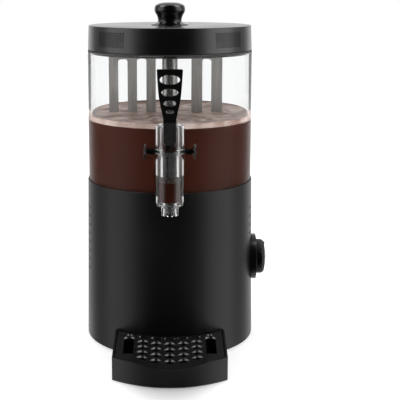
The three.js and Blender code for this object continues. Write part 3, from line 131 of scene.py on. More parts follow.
class DispenserSizes(bpy.types.PropertyGroup):
    """Sizes a user may change"""

    drink_level: length("Drink level", "Height of the froth's top", 0.2882)
    froth_depth: length("Froth depth", "Depth of the pale froth on the drink", 0.0052)
    tap_drink_level: length("Tap drink level", "Height of the drink inside the tap", 0.229)
    froth_level: length("Froth level", "Height of the froth inside the tap", 0.2375)
    wave_height: length("Wave height", "Height of the swirl waves on the drink", 0.0006)
    round_steps: bpy.props.IntProperty(
        name="Round steps", description="Steps round the large turned pieces",
        default=160, min=32, max=512
    )


class DispenserColours(bpy.types.PropertyGroup):
    """Colours a user may change"""

    casing: colour("Casing", "Satin black of the base", (0.0030, 0.0030, 0.0031))
    gloss: colour("Lid", "Gloss black of lid, knob and lever", (0.0022, 0.0022, 0.0023))
    drink: colour("Drink", "Brown of the drink", (0.062, 0.0162, 0.0095))
    drink_surface: colour("Drink surface", "Pale froth on the drink", (0.88, 0.71, 0.645))
    steel: colour("Steel", "Stainless steel", (0.50, 0.49, 0.47))
    clear: colour("Clear plastic", "Tint of the clear plastic", (0.90, 0.905, 0.905))


def sizes():
    """The user's sizes"""
    return bpy.context.scene.dispenser_sizes


def colours():
    """The user's colours"""
    return bpy.context.scene.dispenser_colours


# Materials

NOISE_SPAN = (0.3, 0.7)
BLEND_STOPS = (0.35, 0.65)
SURFACE_BACK_FADE = (0.045, 0.095)
FROTH_STREAK = (0.37, 0.225, 0.175)
FILM_ROUGHNESS = 0.28
FINISHES = {}


def feed(tree, node, inputs):
    """Links a node's inputs to other sockets, or sets their values"""
    for name, value in inputs.items():
        if isinstance(value, bpy.types.NodeSocket):
            tree.links.new(value, node.inputs[name])
        else:
            node.inputs[name].default_value = value


def add_node(tree, kind, inputs, **settings):
    """A shader node with its settings and inputs"""
    node = tree.nodes.new("ShaderNode" + kind)
    for name, value in settings.items():
        setattr(node, name, value)
    feed(tree, node, inputs)
    return node


def math_node(tree, operation, first, second):
    """A maths node fed by sockets or numbers"""
    node = add_node(tree, "Math", {0: first, 1: second}, operation=operation)
    return node.outputs["Value"]


def vector_node(tree, operation, *values, output="Vector"):
    """A vector maths node fed by sockets or vectors"""
    node = add_node(tree, "VectorMath", dict(enumerate(values)), operation=operation)
    return node.outputs[output]


def map_range(tree, source, reach, result=(0, 1), **settings):
    """Maps a value from one range to another"""
    names = ("Value", "From Min", "From Max", "To Min", "To Max")
    inputs = dict(zip(names, (source, *reach, *result)))
    return add_node(tree, "MapRange", inputs, **settings).outputs["Result"]


def coordinates(tree, kind="Object"):
    """A texture coordinate"""
    return add_node(tree, "TexCoord", {}).outputs[kind]


def along_axis(tree, vector, axis):
    """One axis of a vector"""
    return add_node(tree, "SeparateXYZ", {"Vector": vector}).outputs[axis]


def flattened(tree, kind):
    """A coordinate without its height, and its direction round the middle"""
    flat = vector_node(tree, "MULTIPLY", coordinates(tree, kind), (1, 1, 0))
    return flat, vector_node(tree, "NORMALIZE", flat)


def stretched_noise(tree, scale, detail, stretch=(1, 1, 1)):
    """A noise in object coordinates, stretched along its axes"""
    mapping = add_node(tree, "Mapping", {"Vector": coordinates(tree), "Scale": stretch})
    inputs = {"Vector": mapping.outputs["Vector"], "Scale": scale, "Detail": detail}
    return add_node(tree, "TexNoise", inputs).outputs["Fac"]


def round_noise(tree, flat, unit, along, across, detail):
    """A noise drawn out round the middle, as a stirrer leaves it"""
    radius = vector_node(tree, "LENGTH", flat, output="Value")
    rise = add_node(tree, "CombineXYZ", {"Z": math_node(tree, "MULTIPLY", radius, across)})
    place = vector_node(tree, "MULTIPLY_ADD", unit, (along, along, 0), rise.outputs["Vector"])
    inputs = {"Vector": place, "Scale": 1, "Detail": detail, "Distortion": 0.8}
    return add_node(tree, "TexNoise", inputs).outputs["Fac"]


def blend_colours(tree, source, *colors):
    """Mixes two colours by a noise"""
    ramp = add_node(tree, "ValToRGB", {"Fac": source})
    for element, stop, color in zip(ramp.color_ramp.elements, BLEND_STOPS, colors):
        element.position = stop
        element.color = (*color, 1)
    return ramp.outputs["Color"]


def add_bump(tree, shader, source, distance, strength):
    """Feeds a height to the shader's normal"""
    bump = add_node(tree, "Bump", {"Height": source, "Distance": distance, "Strength": strength})
    feed(tree, shader, {"Normal": bump.outputs["Normal"]})


def shade(color, share):
    """A colour scaled by a share"""
    return tuple(channel * share for channel in color)


def new_finish(name, color, roughness, gloss=0.5, metallic=0.0):
    """A material with one Principled shader, and its node tree"""
    material = bpy.data.materials.new(name)
    material.use_nodes = True
    tree = material.node_tree
    shader = tree.nodes["Principled BSDF"]
    feed(tree, shader, {
        "Base Color": (*color, 1), "Roughness": roughness,
        "Specular IOR Level": gloss, "Metallic": metallic,
    })
    return material, tree, shader


def moulded(name, color, roughness, variation, grain_scale, grain_depth, gloss=0.5):
    """Moulded plastic or paint with a faint grain and uneven gloss"""
    material, tree, shader = new_finish(name, color, roughness, gloss)
    patches = stretched_noise(tree, 14, 3)
    span = (roughness - variation, roughness + variation)
    feed(tree, shader, {
        "Roughness": map_range(tree, patches, NOISE_SPAN, span),
        "Base Color": blend_colours(tree, patches, shade(color, 0.85), shade(color, 1.15)),
    })
    add_bump(tree, shader, stretched_noise(tree, grain_scale, 2), grain_depth, 0.35)
    return material


def brushed(name, color, roughness, stretch, scale, metallic=1.0):
    """Brushed metal with fine lines along one axis"""
    material, tree, shader = new_finish(name, color, roughness, metallic=metallic)
    lines = stretched_noise(tree, scale, 4, stretch)
    span = (roughness - 0.08, roughness + 0.1)
    feed(tree, shader, {
        "Roughness": map_range(tree, lines, NOISE_SPAN, span),
        "Base Color": blend_colours(tree, lines, shade(color, 0.72), shade(color, 1.18)),
    })
    add_bump(tree, shader, lines, 0.00004, 0.3)
    return material


def clear_plastic(name, color, roughness, ior, gloss):
    """Clear moulded plastic with faint flow marks"""
    material, tree, shader = new_finish(name, color, roughness, gloss)
    feed(tree, shader, {"Transmission Weight": 1, "IOR": ior})
    add_bump(tree, shader, stretched_noise(tree, 30, 1, (1, 1, 0.3)), 0.00002, 0.2)
    return material


def wetted(finish, level, roughness):
    """Dulls a finish below a level, where the drink leaves a film on the wall"""
    tree = finish.node_tree
    shader = tree.nodes["Principled BSDF"]
    span = (roughness, shader.inputs["Roughness"].default_value)
    height = along_axis(tree, coordinates(tree), "Z")
    feed(tree, shader, {"Roughness": map_range(tree, height, (level - MM, level), span)})
    return finish


def drink_body(name, color):
    """Thick brown drink seen through a wall, a little uneven"""
    material, tree, shader = new_finish(name, color, 0.45, 0)
    clouds = stretched_noise(tree, 9, 4, (1, 1, 0.7))
    mixed = blend_colours(tree, clouds, shade(color, 0.9), shade(color, 1.12))
    feed(tree, shader, {"Base Color": mixed})
    return material


def stirred_finish(name, body, streak):
    """Surface of the drink: pale froth drawn out by the stirrer, darker brown towards the back.
    The body colour is a lighter copy of the drink's colour: painted light on the top
    """
    material, tree, shader = new_finish(name, body, 0.5, 0.1)
    flat, unit = flattened(tree, "Object")
    swirl = round_noise(tree, flat, unit, 3.2, 36, 6)
    pale = blend_colours(tree, swirl, FROTH_STREAK, shade(streak, 1.12))
    back_brown = blend_colours(tree, swirl, body, FROTH_STREAK)
    back = map_range(tree, along_axis(tree, flat, "Y"), SURFACE_BACK_FADE)
    mix = add_node(tree, "Mix", {}, data_type="RGBA")
    feed(tree, mix, {"Factor": back, 6: pale, 7: back_brown})
    feed(tree, shader, {"Base Color": mix.outputs[2]})
    add_bump(tree, shader, stretched_noise(tree, 260, 2), 0.0002, 0.25)
    return material


def froth_finish(name, body, streak):
    """Speckled froth of the drink in the tap"""
    material, tree, shader = new_finish(name, body, 0.4, 0.1)
    speckle = stretched_noise(tree, 500, 5)
    feed(tree, shader, {"Base Color": blend_colours(tree, speckle, body, streak)})
    add_bump(tree, shader, stretched_noise(tree, 900, 2), 0.0002, 0.3)
    return material


def make_finishes():
    """Every material of the dispenser"""
    casing, gloss, drink, surface, steel, clear = (
        tuple(getattr(colours(), name)) for name in DispenserColours.__annotations__
    )
    # Key, name, colour, roughness, its variation, grain's scale and depth, gloss
    for key, *values in (
        ("casing", "casing_satin_black", casing, 0.36, 0.03, 900, 0.00003, 0.22),
        ("matte", "plastic_fine_grain_black", (0.0020, 0.0020, 0.0021), 0.32, 0.05, 1400,
         0.00004, 0.22),
        ("tray", "tray_fine_grain_black", (0.0100, 0.0100, 0.0101), 0.38, 0.05, 1400,
         0.00004, 0.22),
        ("gloss", "knob_gloss_black", gloss, 0.12, 0.03, 40, 0.00002),
        ("lid", "lid_satin_black", gloss, 0.24, 0.03, 900, 0.00002, 0.6),
        ("lever", "lever_fine_grain_black", gloss, 0.3, 0.04, 1200, 0.00003, 0.25),
        ("grille", "grille_satin_black", (0.011,) * 3, 0.15, 0.03, 1000, 0.00002, 0.9),
        ("piston", "piston_dark_grey", (0.009, 0.009, 0.008), 0.35, 0.05, 900, 0.00003, 0.25),
        ("rubber", "rubber_black", (0.008,) * 3, 0.75, 0.08, 1800, 0.00006),
        ("seal", "seal_black_silicone", (0.02,) * 3, 0.55, 0.06, 1200, 0.00004),
        # Near black and without gloss: painted shade for the insides of the covers and the walls
        # of their holes
        ("inside", "inside_matt_black", (0.001,) * 3, 0.85, 0.05, 900, 0.00003, 0.02),
    ):
        FINISHES[key] = moulded(*values)
    # Key, name, colour, roughness, stretch of the lines, their scale, metallic share
    for key, *values in (
        ("steel", "steel_brushed", shade(steel, 0.8), 0.3, (1, 1, 40), 60),
        ("steel_up", "steel_brushed_upright", steel, 0.5, (60, 60, 1), 30, 0.25),
        ("aluminium", "aluminium_cast", (0.52, 0.52, 0.53), 0.42, (1, 1, 1), 300),
        # The column's steel is a darker copy of the steel colour: painted shade
        ("tube", "tube_polished_steel", shade(steel, 0.46), 0.2, (12, 12, 1), 30),
        ("brass", "brass_turned", (0.46, 0.31, 0.10), 0.3, (40, 1, 1), 80),
        ("spring", "spring_blackened_steel", (0.007, 0.007, 0.0075), 0.3, (1, 1, 1), 400),
        ("pin", "pin_dark_steel", (0.06, 0.06, 0.062), 0.28, (40, 1, 1), 90),
    ):
        FINISHES[key] = brushed(*values)
    bowl = clear_plastic("bowl_clear_plastic", clear, 0.02, 1.15, 0.04)
    FINISHES.update(
        clear=wetted(bowl, sizes().drink_level, FILM_ROUGHNESS),
        tap=clear_plastic("tap_clear_plastic", shade(clear, 0.68), 0.03, 1.49, 0.12),
        cap=clear_plastic("cap_smoky_plastic", shade(clear, 0.3), 0.06, 1.45, 0.4),
        drink=drink_body("drink_chocolate", drink),
        # The top's body colour is the drink's brown made 2.6 times lighter: painted light on the
        # drink's top
        drink_top=stirred_finish("drink_froth_streaks", shade(drink, 2.6), surface),
        # The drink in the tap is a darker copy of the drink's colour: painted shade
        tap_drink=drink_body("drink_in_tap", shade(drink, 0.8)),
        # The froth in the tap is a darker copy of the froth's colours, darker even than the
        # drink: painted shade
        tap_froth=froth_finish("tap_froth_speckled", shade(drink, 0.3), shade(surface, 0.14)),
    )


# Mesh tools

AXES = {
    "Z": Matrix.Identity(3),
    "X": Matrix(((0, 0, 1), (0, 1, 0), (-1, 0, 0))),
    "-X": Matrix(((0, 0, -1), (0, 1, 0), (1, 0, 0))),
}
UPRIGHT = Matrix.Rotation(math.pi / 2, 3, "X")


def eased(profile, radius, steps=3):
    """A closed outline of (radius, height) points with its corners eased"""
    points = [Vector(p) for p in profile]
    result = []
    for i, corner in enumerate(points):
        if corner.x < ON_AXIS:
            result.append(tuple(corner))
            continue
        ends = []
        for other in (points[i - 1], points[(i + 1) % len(points)]):
            run = other - corner
            ends.append(corner + run.normalized() * min(radius, run.length / 2))
        for step in range(steps + 1):
            t = step / steps
            point = ends[0] * (1 - t) ** 2 + corner * 2 * t * (1 - t) + ends[1] * t ** 2
            result.append(tuple(point))
    return result


def revolve(shape, profile, axis="Z", at=(0, 0, 0), steps=None):
    """Adds a closed outline of (radius, height) points turned about an axis"""
    steps = steps or sizes().round_steps
    rings = []
    for radius, height in profile:
        ring = []
        for i in range(steps if radius > ON_AXIS else 1):
            angle = 2 * math.pi * i / steps
            point = Vector((radius * math.cos(angle), radius * math.sin(angle), height))
            ring.append(shape.verts.new(AXES[axis] @ point + Vector(at)))
        rings.append(ring)
    pairs = list(zip(rings, rings[1:]))
    if len(rings[0]) > 1 or len(rings[-1]) > 1:
        pairs.append((rings[-1], rings[0]))
    for first, second in pairs:
        if len(first) == 1 and len(second) == 1:
            continue
        for i in range(steps):
            j = (i + 1) % steps
            corners = [ring[k % len(ring)] for ring, k in zip(
                (first, first, second, second), (i, j, j, i)
            )]
            shape.faces.new(list(dict.fromkeys(corners)))
    return shape


def add_rod(shape, radius, start, end, steps=24):
    """Adds a round bar between two points"""
    start = Vector(start)
    end = Vector(end)
    turn = (end - start).to_track_quat("Z", "Y").to_matrix().to_4x4()
    bmesh.ops.create_cone(
        shape, cap_ends=True, segments=steps, radius1=radius, radius2=radius,
        depth=(end - start).length, matrix=Matrix.Translation((start + end) / 2) @ turn
    )


def add_slab(shape, lowest, highest, turn=Matrix.Identity(4)):
    """Adds a square block between two corners"""
    lowest = Vector(lowest)
    highest = Vector(highest)
    scale = Matrix.Diagonal((*(highest - lowest), 1))
    place = turn @ (Matrix.Translation((lowest + highest) / 2) @ scale)
    bmesh.ops.create_cube(shape, size=1, matrix=place)


def add_layers(shape, layers):
    """Adds a skin round layers of points, with a face at each end"""
    rings = [[shape.verts.new(point) for point in layer] for layer in layers]
    shape.faces.new(list(reversed(rings[0])))
    shape.faces.new(rings[-1])
    for first, second in zip(rings, rings[1:]):
        for i in range(len(first)):
            j = (i + 1) % len(first)
            shape.faces.new((first[i], first[j], second[j], second[i]))


def add_prism(shape, outline, lowest, highest):
    """Adds an outline of (x, y) points raised between two heights"""
    add_layers(shape, [[(x, y, z) for x, y in outline] for z in (lowest, highest)])


def stand_up(shape, at=(0, 0, 0)):
    """Turns a flat shape upright, to face the front, and moves it"""
    bmesh.ops.rotate(shape, cent=(0, 0, 0), matrix=UPRIGHT, verts=shape.verts)
    bmesh.ops.translate(shape, vec=at, verts=shape.verts)


def link_shape(name, shape):
    """Turns a mesh under construction into an object in the scene"""
    bmesh.ops.recalc_face_normals(shape, faces=shape.faces)
    mesh = bpy.data.meshes.new(name)
    shape.to_mesh(mesh)
    shape.free()
    piece = bpy.data.objects.new(name, mesh)
    bpy.context.scene.collection.objects.link(piece)
    return piece


def turned_piece(name, profile, axis="Z", at=(0, 0, 0), steps=None):
    """One turned piece on its own"""
    return link_shape(name, revolve(bmesh.new(), profile, axis, at, steps))


def combine(piece, tool_shape, operation="DIFFERENCE"):
    """Cuts or joins another shape by a boolean, and keeps the result as the piece's mesh"""
    tool = link_shape(piece.name + "_tool", tool_shape)
    modifier = piece.modifiers.new("combine", "BOOLEAN")
    modifier.operation = operation
    modifier.solver = "EXACT"
    modifier.object = tool
    depsgraph = bpy.context.evaluated_depsgraph_get()
    mesh = bpy.data.meshes.new_from_object(piece.evaluated_get(depsgraph))
    if not mesh.polygons:
        raise RuntimeError("nothing is left of " + piece.name)
    piece.modifiers.clear()
    piece.data = mesh
    bpy.data.objects.remove(tool)


def combine_rod(piece, radius, start, end, steps=24, operation="DIFFERENCE"):
    """Drills a round hole through a piece, or joins a bar to it"""
    tool = bmesh.new()
    add_rod(tool, radius, start, end, steps)
    combine(piece, tool, operation)


def soften(piece, width, segments=2, angle=35):
    """Eases the sharp edges of a piece"""
    bevel = piece.modifiers.new("ease", "BEVEL")
    bevel.width = width
    bevel.segments = segments
    bevel.limit_method = "ANGLE"
    bevel.angle_limit = math.radians(angle)
    bevel.harden_normals = True
    bevel.use_clamp_overlap = True


def dress(piece, finish, body, slot, *nodes, smooth_angle=30):
    """Gives a piece its material and body, and hides the nodes that it stands for; the slot
    argument is not used
    """
    piece.data.materials.clear()
    piece.data.materials.append(FINISHES[finish])
    piece.data.shade_smooth()
    piece.data.set_sharp_from_angle(angle=math.radians(smooth_angle))
    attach(piece, body)
    if nodes:
        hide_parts(*nodes)


def paint_shade_inside(piece, lowest, highest, skin):
    """Gives a turned cover's inner faces and the walls of its holes the near-black matt inside
    finish without gloss: painted shade in the insides and the holes
    """
    piece.data.materials.append(FINISHES["inside"])
    for face in piece.data.polygons:
        if not lowest < face.center.z < highest:
            continue
        radius = math.hypot(face.center.x, face.center.y)
        outward = (face.center.x * face.normal.x + face.center.y * face.normal.y) / radius
        if radius < skin or outward < 0.7:
            face.material_index = 1


def base_radius(height):
    """The base tapers a little from its foot to its rim"""
    return BASE_BOTTOM_RADIUS + (BASE_TOP_RADIUS - BASE_BOTTOM_RADIUS) * height / BASE_HEIGHT


def around(angle_deg, radius, height):
    """A point at an angle from the front, at a radius and height"""
    angle = math.radians(angle_deg)
    return Vector((math.sin(angle) * radius, -math.cos(angle) * radius, height))


# Base

VENT_RADIUS = 2.1 * MM
VENT_ROWS = 8
VENT_COLUMNS = 5
VENT_LOW = 92.8 * MM
VENT_ROW_PITCH = 11.3 * MM
VENT_FIRST_ANGLE = 73.9
VENT_ANGLE_PITCH = 6.463
VENT_BEZEL_MARGIN = 12 * MM
BEZEL_RADIUS = high("dial_bezel").z - DIAL_HEIGHT
WINDOW_HALF = (13.9 * MM, 0, 10.4 * MM)
TONGUE_GAP = 0.4 * MM


def vent_tools():
    """Round vent holes on both sides, left out where the dial's bezel is"""
    tools = bmesh.new()
    for side, column, row in product((-1, 1), range(VENT_COLUMNS), range(VENT_ROWS)):
        angle = VENT_FIRST_ANGLE + column * VENT_ANGLE_PITCH
        height = VENT_LOW + row * VENT_ROW_PITCH
        outside = around(side * angle, BASE_BOTTOM_RADIUS + REACH, height)
        inside = around(side * angle, BASE_TOP_RADIUS - REACH, height)
        across = around(angle, BASE_BOTTOM_RADIUS, 0).y
        from_dial = math.hypot(across, height - DIAL_HEIGHT)
        if side < 0 or from_dial > BEZEL_RADIUS + VENT_BEZEL_MARGIN:
            add_rod(tools, VENT_RADIUS, outside, inside, 16)
    return tools


def casing_openings():
    """Windows for the rear fittings, slots for the tray's tongues and the dial's hole"""
    tools = bmesh.new()
    for node in ("mains_inlet", "switch_frame"):
        centre = (low(node) + high(node)) / 2
        corner = centre - Vector(WINDOW_HALF)
        other = centre + Vector(WINDOW_HALF)
        corner.y = BASE_BOTTOM_RADIUS / 2
        other.y = BASE_BOTTOM_RADIUS + REACH
        add_slab(tools, corner, other)
    for side in (-1, 1):
        x = side * TONGUE_MIDDLE
        left = x - TONGUE_HALF_WIDTH - TONGUE_GAP
        right = x + TONGUE_HALF_WIDTH + TONGUE_GAP
        add_slab(
            tools,
            (left, -BASE_BOTTOM_RADIUS - REACH, TONGUE_LOW - TONGUE_GAP),
            (right, -BASE_BOTTOM_RADIUS / 2, TONGUE_HIGH + TONGUE_GAP),
        )
    far = BASE_BOTTOM_RADIUS + REACH
    add_rod(tools, DIAL_HOLE, (BASE_TOP_RADIUS / 2, 0, DIAL_HEIGHT), (far, 0, DIAL_HEIGHT))
    return tools


class DISPENSER_OT_casing(bpy.types.Operator):
    """Base casing with its vents, rim and rear windows"""

    bl_idname = "dispenser.casing"
    bl_label = "Base casing"

    def execute(self, context):
        rim_inner = BASE_TOP_RADIUS - RIM_WALL
        shelf_inner = rim_inner - SHELF_WIDTH
        shelf_low = SHELF_TOP - SHELF_THICKNESS
        outline = [
            (base_radius(0) - BASE_WALL, 0), (base_radius(0) - FOOT_INSET, 0),
            (BASE_TOP_RADIUS, BASE_HEIGHT), (rim_inner, BASE_HEIGHT), (rim_inner, SHELF_TOP),
            (shelf_inner, SHELF_TOP), (shelf_inner, shelf_low),
            (base_radius(shelf_low) - BASE_WALL, shelf_low),
        ]
        piece = turned_piece("casing", eased(outline, 0.9 * MM, 5))
        combine(piece, vent_tools())
        combine(piece, casing_openings())
        dress(piece, "casing", "base", "casing_black", "base_casing")
        # Painted shade on the casing's inner faces and the walls of its vents
        paint_shade_inside(piece, MM, BASE_HEIGHT - MM, BASE_TOP_RADIUS - MM)
        return {"FINISHED"}


def numbered(word, count):
    """Names of numbered nodes"""
    return [word + "_" + str(i + 1) for i in range(count)]


INNER_FINISHES = {
    "steel": [
        "base_plate", *numbered("foot_screw", 4), "motor_bracket", "motor",
        *numbered("motor_screw", 2), "column_nut", "knob_screw", "drive_shaft", "heating_element",
    ],
    "rubber": numbered("foot", 4),
    "aluminium": ["heating_plate", "gearbox", "shaft_coupling"],
    "seal": [
        "bowl_gasket", "column_gasket", "column_bush_lower", "column_bush_upper", "lid_seal",
        "tap_gasket",
    ],
    "matte": ["thermostat", "mains_inlet", "switch_frame", "tap_nut"],
    "gloss": ["switch_rocker"],
    "brass": ["thermostat_spindle"],
}


class DISPENSER_OT_inner_parts(bpy.types.Operator):
    """Finishes of the frame's own pieces, mostly inside the base and underneath"""

    bl_idname = "dispenser.inner_parts"
    bl_label = "Inner and underside parts"

    def execute(self, context):
        for finish, nodes in INNER_FINISHES.items():
            for node in nodes:
                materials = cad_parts[node].data.materials
                materials.clear()
                materials.append(FINISHES[finish])
        for node in ("mains_inlet", "switch_frame", "switch_rocker"):
            soften(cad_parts[node], 0.4 * MM)
        return {"FINISHED"}


# Dial

DIAL_RADIUS = high("thermostat_dial").z - DIAL_HEIGHT
DIAL_BACK = low("thermostat_dial").x
DIAL_DEPTH = high("thermostat_dial").x - DIAL_BACK - 0.8 * MM
DIAL_CROWN = 3.4 * MM
DIAL_FLUTES = 48
FLUTE_DEPTH = 0.4 * MM
SPINDLE_HOLE = 3.3 * MM
BEZEL_RECESS = 1.2 * MM


class DISPENSER_OT_dial(bpy.types.Operator):
    """Thermostat dial with fluted edge and pointer, and the raised bezel behind it"""

    bl_idname = "dispenser.dial"
    bl_label = "Dial and bezel"

    def execute(self, context):
        self.make_bezel()
        self.make_dial()
        self.make_pointer()
        return {"FINISHED"}

    def make_bezel(self):
        face = high("dial_bezel").x
        back = BASE_TOP_RADIUS - 8 * MM
        outline = [
            (DIAL_HOLE, back), (BEZEL_RADIUS, back), (BEZEL_RADIUS, face),
            (DIAL_RADIUS + 1.5 * MM, face), (DIAL_RADIUS + 0.5 * MM, face - BEZEL_RECESS),
            (DIAL_HOLE, face - BEZEL_RECESS),
        ]
        piece = turned_piece("bezel", eased(outline, 0.9 * MM), "X", (0, 0, DIAL_HEIGHT), 96)
        span = BEZEL_RADIUS + REACH
        ends = (DIAL_HEIGHT - span, DIAL_HEIGHT + span)
        wall = [(base_radius(height) + GAP, height) for height in ends]
        combine(piece, revolve(bmesh.new(), [(0, ends[0]), *wall, (0, ends[1])]))
        dress(piece, "matte", "base", "matte_black", "dial_bezel")

    def make_dial(self):
        shoulder = DIAL_DEPTH - DIAL_CROWN
        outline = [
            (SPINDLE_HOLE, 0), (DIAL_RADIUS, 0), (DIAL_RADIUS, DIAL_DEPTH - 2 * DIAL_CROWN),
            (DIAL_RADIUS - 0.6 * DIAL_CROWN, shoulder),
            (DIAL_RADIUS / 2, DIAL_DEPTH - 0.4 * DIAL_CROWN),
            (NEAR_AXIS, DIAL_DEPTH), (NEAR_AXIS, shoulder), (SPINDLE_HOLE, shoulder),
        ]
        shape = revolve(bmesh.new(), eased(outline, 0.8 * MM), steps=DIAL_FLUTES * 6)
        for vert in shape.verts:
            radius = math.hypot(vert.co.x, vert.co.y)
            if radius > DIAL_RADIUS * 0.9 and vert.co.z < shoulder:
                wave = (1 - math.cos(DIAL_FLUTES * math.atan2(vert.co.y, vert.co.x))) / 2
                share = 1 - FLUTE_DEPTH * wave / radius
                vert.co.x *= share
                vert.co.y *= share
        place = Matrix.Translation((DIAL_BACK, 0, DIAL_HEIGHT)) @ AXES["X"].to_4x4()
        bmesh.ops.transform(shape, matrix=place, verts=shape.verts)
        dress(link_shape("dial", shape), "matte", "dial", "matte_black", "thermostat_dial")

    def make_pointer(self):
        shape = bmesh.new()
        near = DIAL_BACK + DIAL_DEPTH - DIAL_CROWN
        add_slab(
            shape,
            (near - MM, -0.9 * MM, DIAL_HEIGHT + 6 * MM),
            (near + 1.5 * MM, 0.9 * MM, DIAL_HEIGHT + DIAL_RADIUS - 3 * MM),
        )
        piece = link_shape("dial_pointer", shape)
        soften(piece, 0.5 * MM, 3)
        dress(piece, "gloss", "dial", "matte_black")


# Bowl, column, drink and stirrer

BRANCH_HOLE = 8.2 * MM


class DISPENSER_OT_bowl(bpy.types.Operator):
    """Clear bowl"""

    bl_idname = "dispenser.bowl"
    bl_label = "Bowl"

    def execute(self, context):
        hub = COLUMN_RADIUS + 0.4 * MM
        corner = BOWL_CORNER
        floor_top = BOWL_BOTTOM + BOWL_FLOOR
        outline = [
            (hub, BOWL_BOTTOM), (BOWL_RADIUS - corner, BOWL_BOTTOM),
            (BOWL_RADIUS - corner / 4, BOWL_BOTTOM + corner / 4),
            (BOWL_RADIUS, BOWL_BOTTOM + corner), (BOWL_RADIUS, BOWL_TOP), (BOWL_INNER, BOWL_TOP),
            (BOWL_INNER, floor_top + corner / 2), (BOWL_INNER - corner / 2, floor_top),
            (hub, floor_top),
        ]
        piece = turned_piece("bowl_wall", eased(outline, 0.6 * MM))
        outside = (0, -BOWL_RADIUS - REACH, BRANCH_HEIGHT)
        combine_rod(piece, BRANCH_HOLE, outside, (0, REACH - BOWL_INNER, BRANCH_HEIGHT), 48)
        dress(piece, "clear", "bowl", "clear", "bowl")
        return {"FINISHED"}


FLANGE_RADIUS = 18 * MM
FLANGE_LOW = high("column_gasket").z + GAP
FLANGE_THICKNESS = 3 * MM


class DISPENSER_OT_column(bpy.types.Operator):
    """Steel column that the stirrer turns on"""

    bl_idname = "dispenser.column"
    bl_label = "Column"

    def execute(self, context):
        inner = COLUMN_RADIUS - 1.2 * MM
        bottom = low("column").z
        top = high("column").z
        flange_high = FLANGE_LOW + FLANGE_THICKNESS
        outline = [
            (inner, bottom), (COLUMN_RADIUS, bottom), (COLUMN_RADIUS, FLANGE_LOW),
            (FLANGE_RADIUS, FLANGE_LOW), (FLANGE_RADIUS, FLANGE_LOW + FLANGE_THICKNESS / 2),
            (COLUMN_RADIUS + FLANGE_THICKNESS, flange_high), (COLUMN_RADIUS, flange_high),
            (COLUMN_RADIUS, top), (inner, top),
        ]
        piece = turned_piece("column_tube", eased(outline, 0.3 * MM), steps=64)
        dress(piece, "tube", "bowl", "steel", "column")
        return {"FINISHED"}


DRINK_RINGS = 40
WETTING = 0.1 * MM


def swirl_wave(radius, angle):
    """Height of the swirl behind the slats"""
    arm = math.sin(2 * angle + radius * 70) * 0.4
    place = Vector((math.cos(angle) * radius, math.sin(angle) * radius, 0.3)) * 45
    return sizes().wave_height * (arm + noise.noise(place))


class DISPENSER_OT_drink(bpy.types.Operator):
    """Drink in the bowl, with a stirred surface"""

    bl_idname = "dispenser.drink"
    bl_label = "Drink"

    def execute(self, context):
        level = sizes().drink_level
        froth_low = level - sizes().froth_depth
        floor_top = BOWL_BOTTOM + BOWL_FLOOR + GAP
        outer = BOWL_INNER + WETTING
        inner = COLUMN_RADIUS + WETTING
        outline = [
            (inner, floor_top), (outer - BOWL_CORNER / 2, floor_top),
            (outer, floor_top + BOWL_CORNER / 2), (outer, froth_low),
            (outer, level - sizes().froth_depth / 2), (outer, level + 1.2 * MM),
            (outer - 0.5 * MM, level + 0.5 * MM),
        ]
        for i in range(1, DRINK_RINGS):
            share = i / DRINK_RINGS
            outline.append((outer - 1.5 * MM - (outer - inner - 2 * MM) * share, level))
        outline.append((inner, level + 0.8 * MM))
        shape = revolve(bmesh.new(), outline, steps=192)
        for vert in shape.verts:
            radius = math.hypot(vert.co.x, vert.co.y)
            if vert.co.z > level - MM and inner + 2 * MM < radius < outer - MM:
                vert.co.z += swirl_wave(radius, math.atan2(vert.co.y, vert.co.x))
        piece = link_shape("drink", shape)
        dress(piece, "drink", "bowl", "clear")
        piece.data.materials.append(FINISHES["drink_top"])
        for face in piece.data.polygons:
            if face.center.z > froth_low:
                face.material_index = 1
        return {"FINISHED"}


SLAT_BOTTOM = low("stirrer").z
SLAT_CORNER = 3 * MM
HUB_BOTTOM = high("column").z + GAP
HUB_TOP = high("stirrer").z
HUB_RADIUS = 11 * MM
HUB_BORE = 4.3 * MM
NUT_RADIUS = 8 * MM
SHEET_HALF = 0.8 * MM
ARM_TOP = 379 * MM
ARM_BOTTOM = 356.5 * MM
ARM_DROOP = 2.5 * MM
LEFT_SLATS = [(x * MM, 12 * MM) for x in (-72, -48, -24)]
RIGHT_SLATS = [(x * MM, 14 * MM) for x in (34.5, 60)]


def turned_corner(x, z, across, along):
    """Points of a slat's eased corner, from its upright side to its level one"""
    return [(x, z + along), (x + 0.3 * across, z + 0.3 * along), (x + across, z)]


def comb_outline():
    """Outline of the stirrer's sheet in X and Z: slats hanging from two arms"""
    slats = [(x - width / 2, x + width / 2) for x, width in LEFT_SLATS + RIGHT_SLATS]
    middle_left = len(LEFT_SLATS) - 1
    reach = -slats[0][0]
    quarter = (HUB_TOP - HUB_BOTTOM) / 4
    corner = SLAT_CORNER
    points = [(slats[0][0], ARM_TOP - corner)]
    for i, (left, right) in enumerate(slats):
        points += turned_corner(left, SLAT_BOTTOM, corner, corner)
        points += reversed(turned_corner(right, SLAT_BOTTOM, -corner, corner))
        if i == len(slats) - 1:
            break
        following = slats[i + 1][0]
        if i == middle_left:
            tops = [HUB_BOTTOM + quarter] * 2
        else:
            tops = [ARM_BOTTOM - ARM_DROOP * abs(x) / reach for x in (right, following)]
        points += turned_corner(right, tops[0], corner, -corner)
        points += reversed(turned_corner(following, tops[1], -corner, -corner))
    tip = slats[-1][1]
    comb_top = HUB_TOP - quarter
    return points + [
        (tip, ARM_TOP - corner), (tip - corner, ARM_TOP), (slats[middle_left + 1][0], ARM_TOP),
        (HUB_RADIUS, comb_top), (-HUB_RADIUS, comb_top), (slats[middle_left][1], ARM_TOP),
        (slats[0][0] + corner, ARM_TOP),
    ]


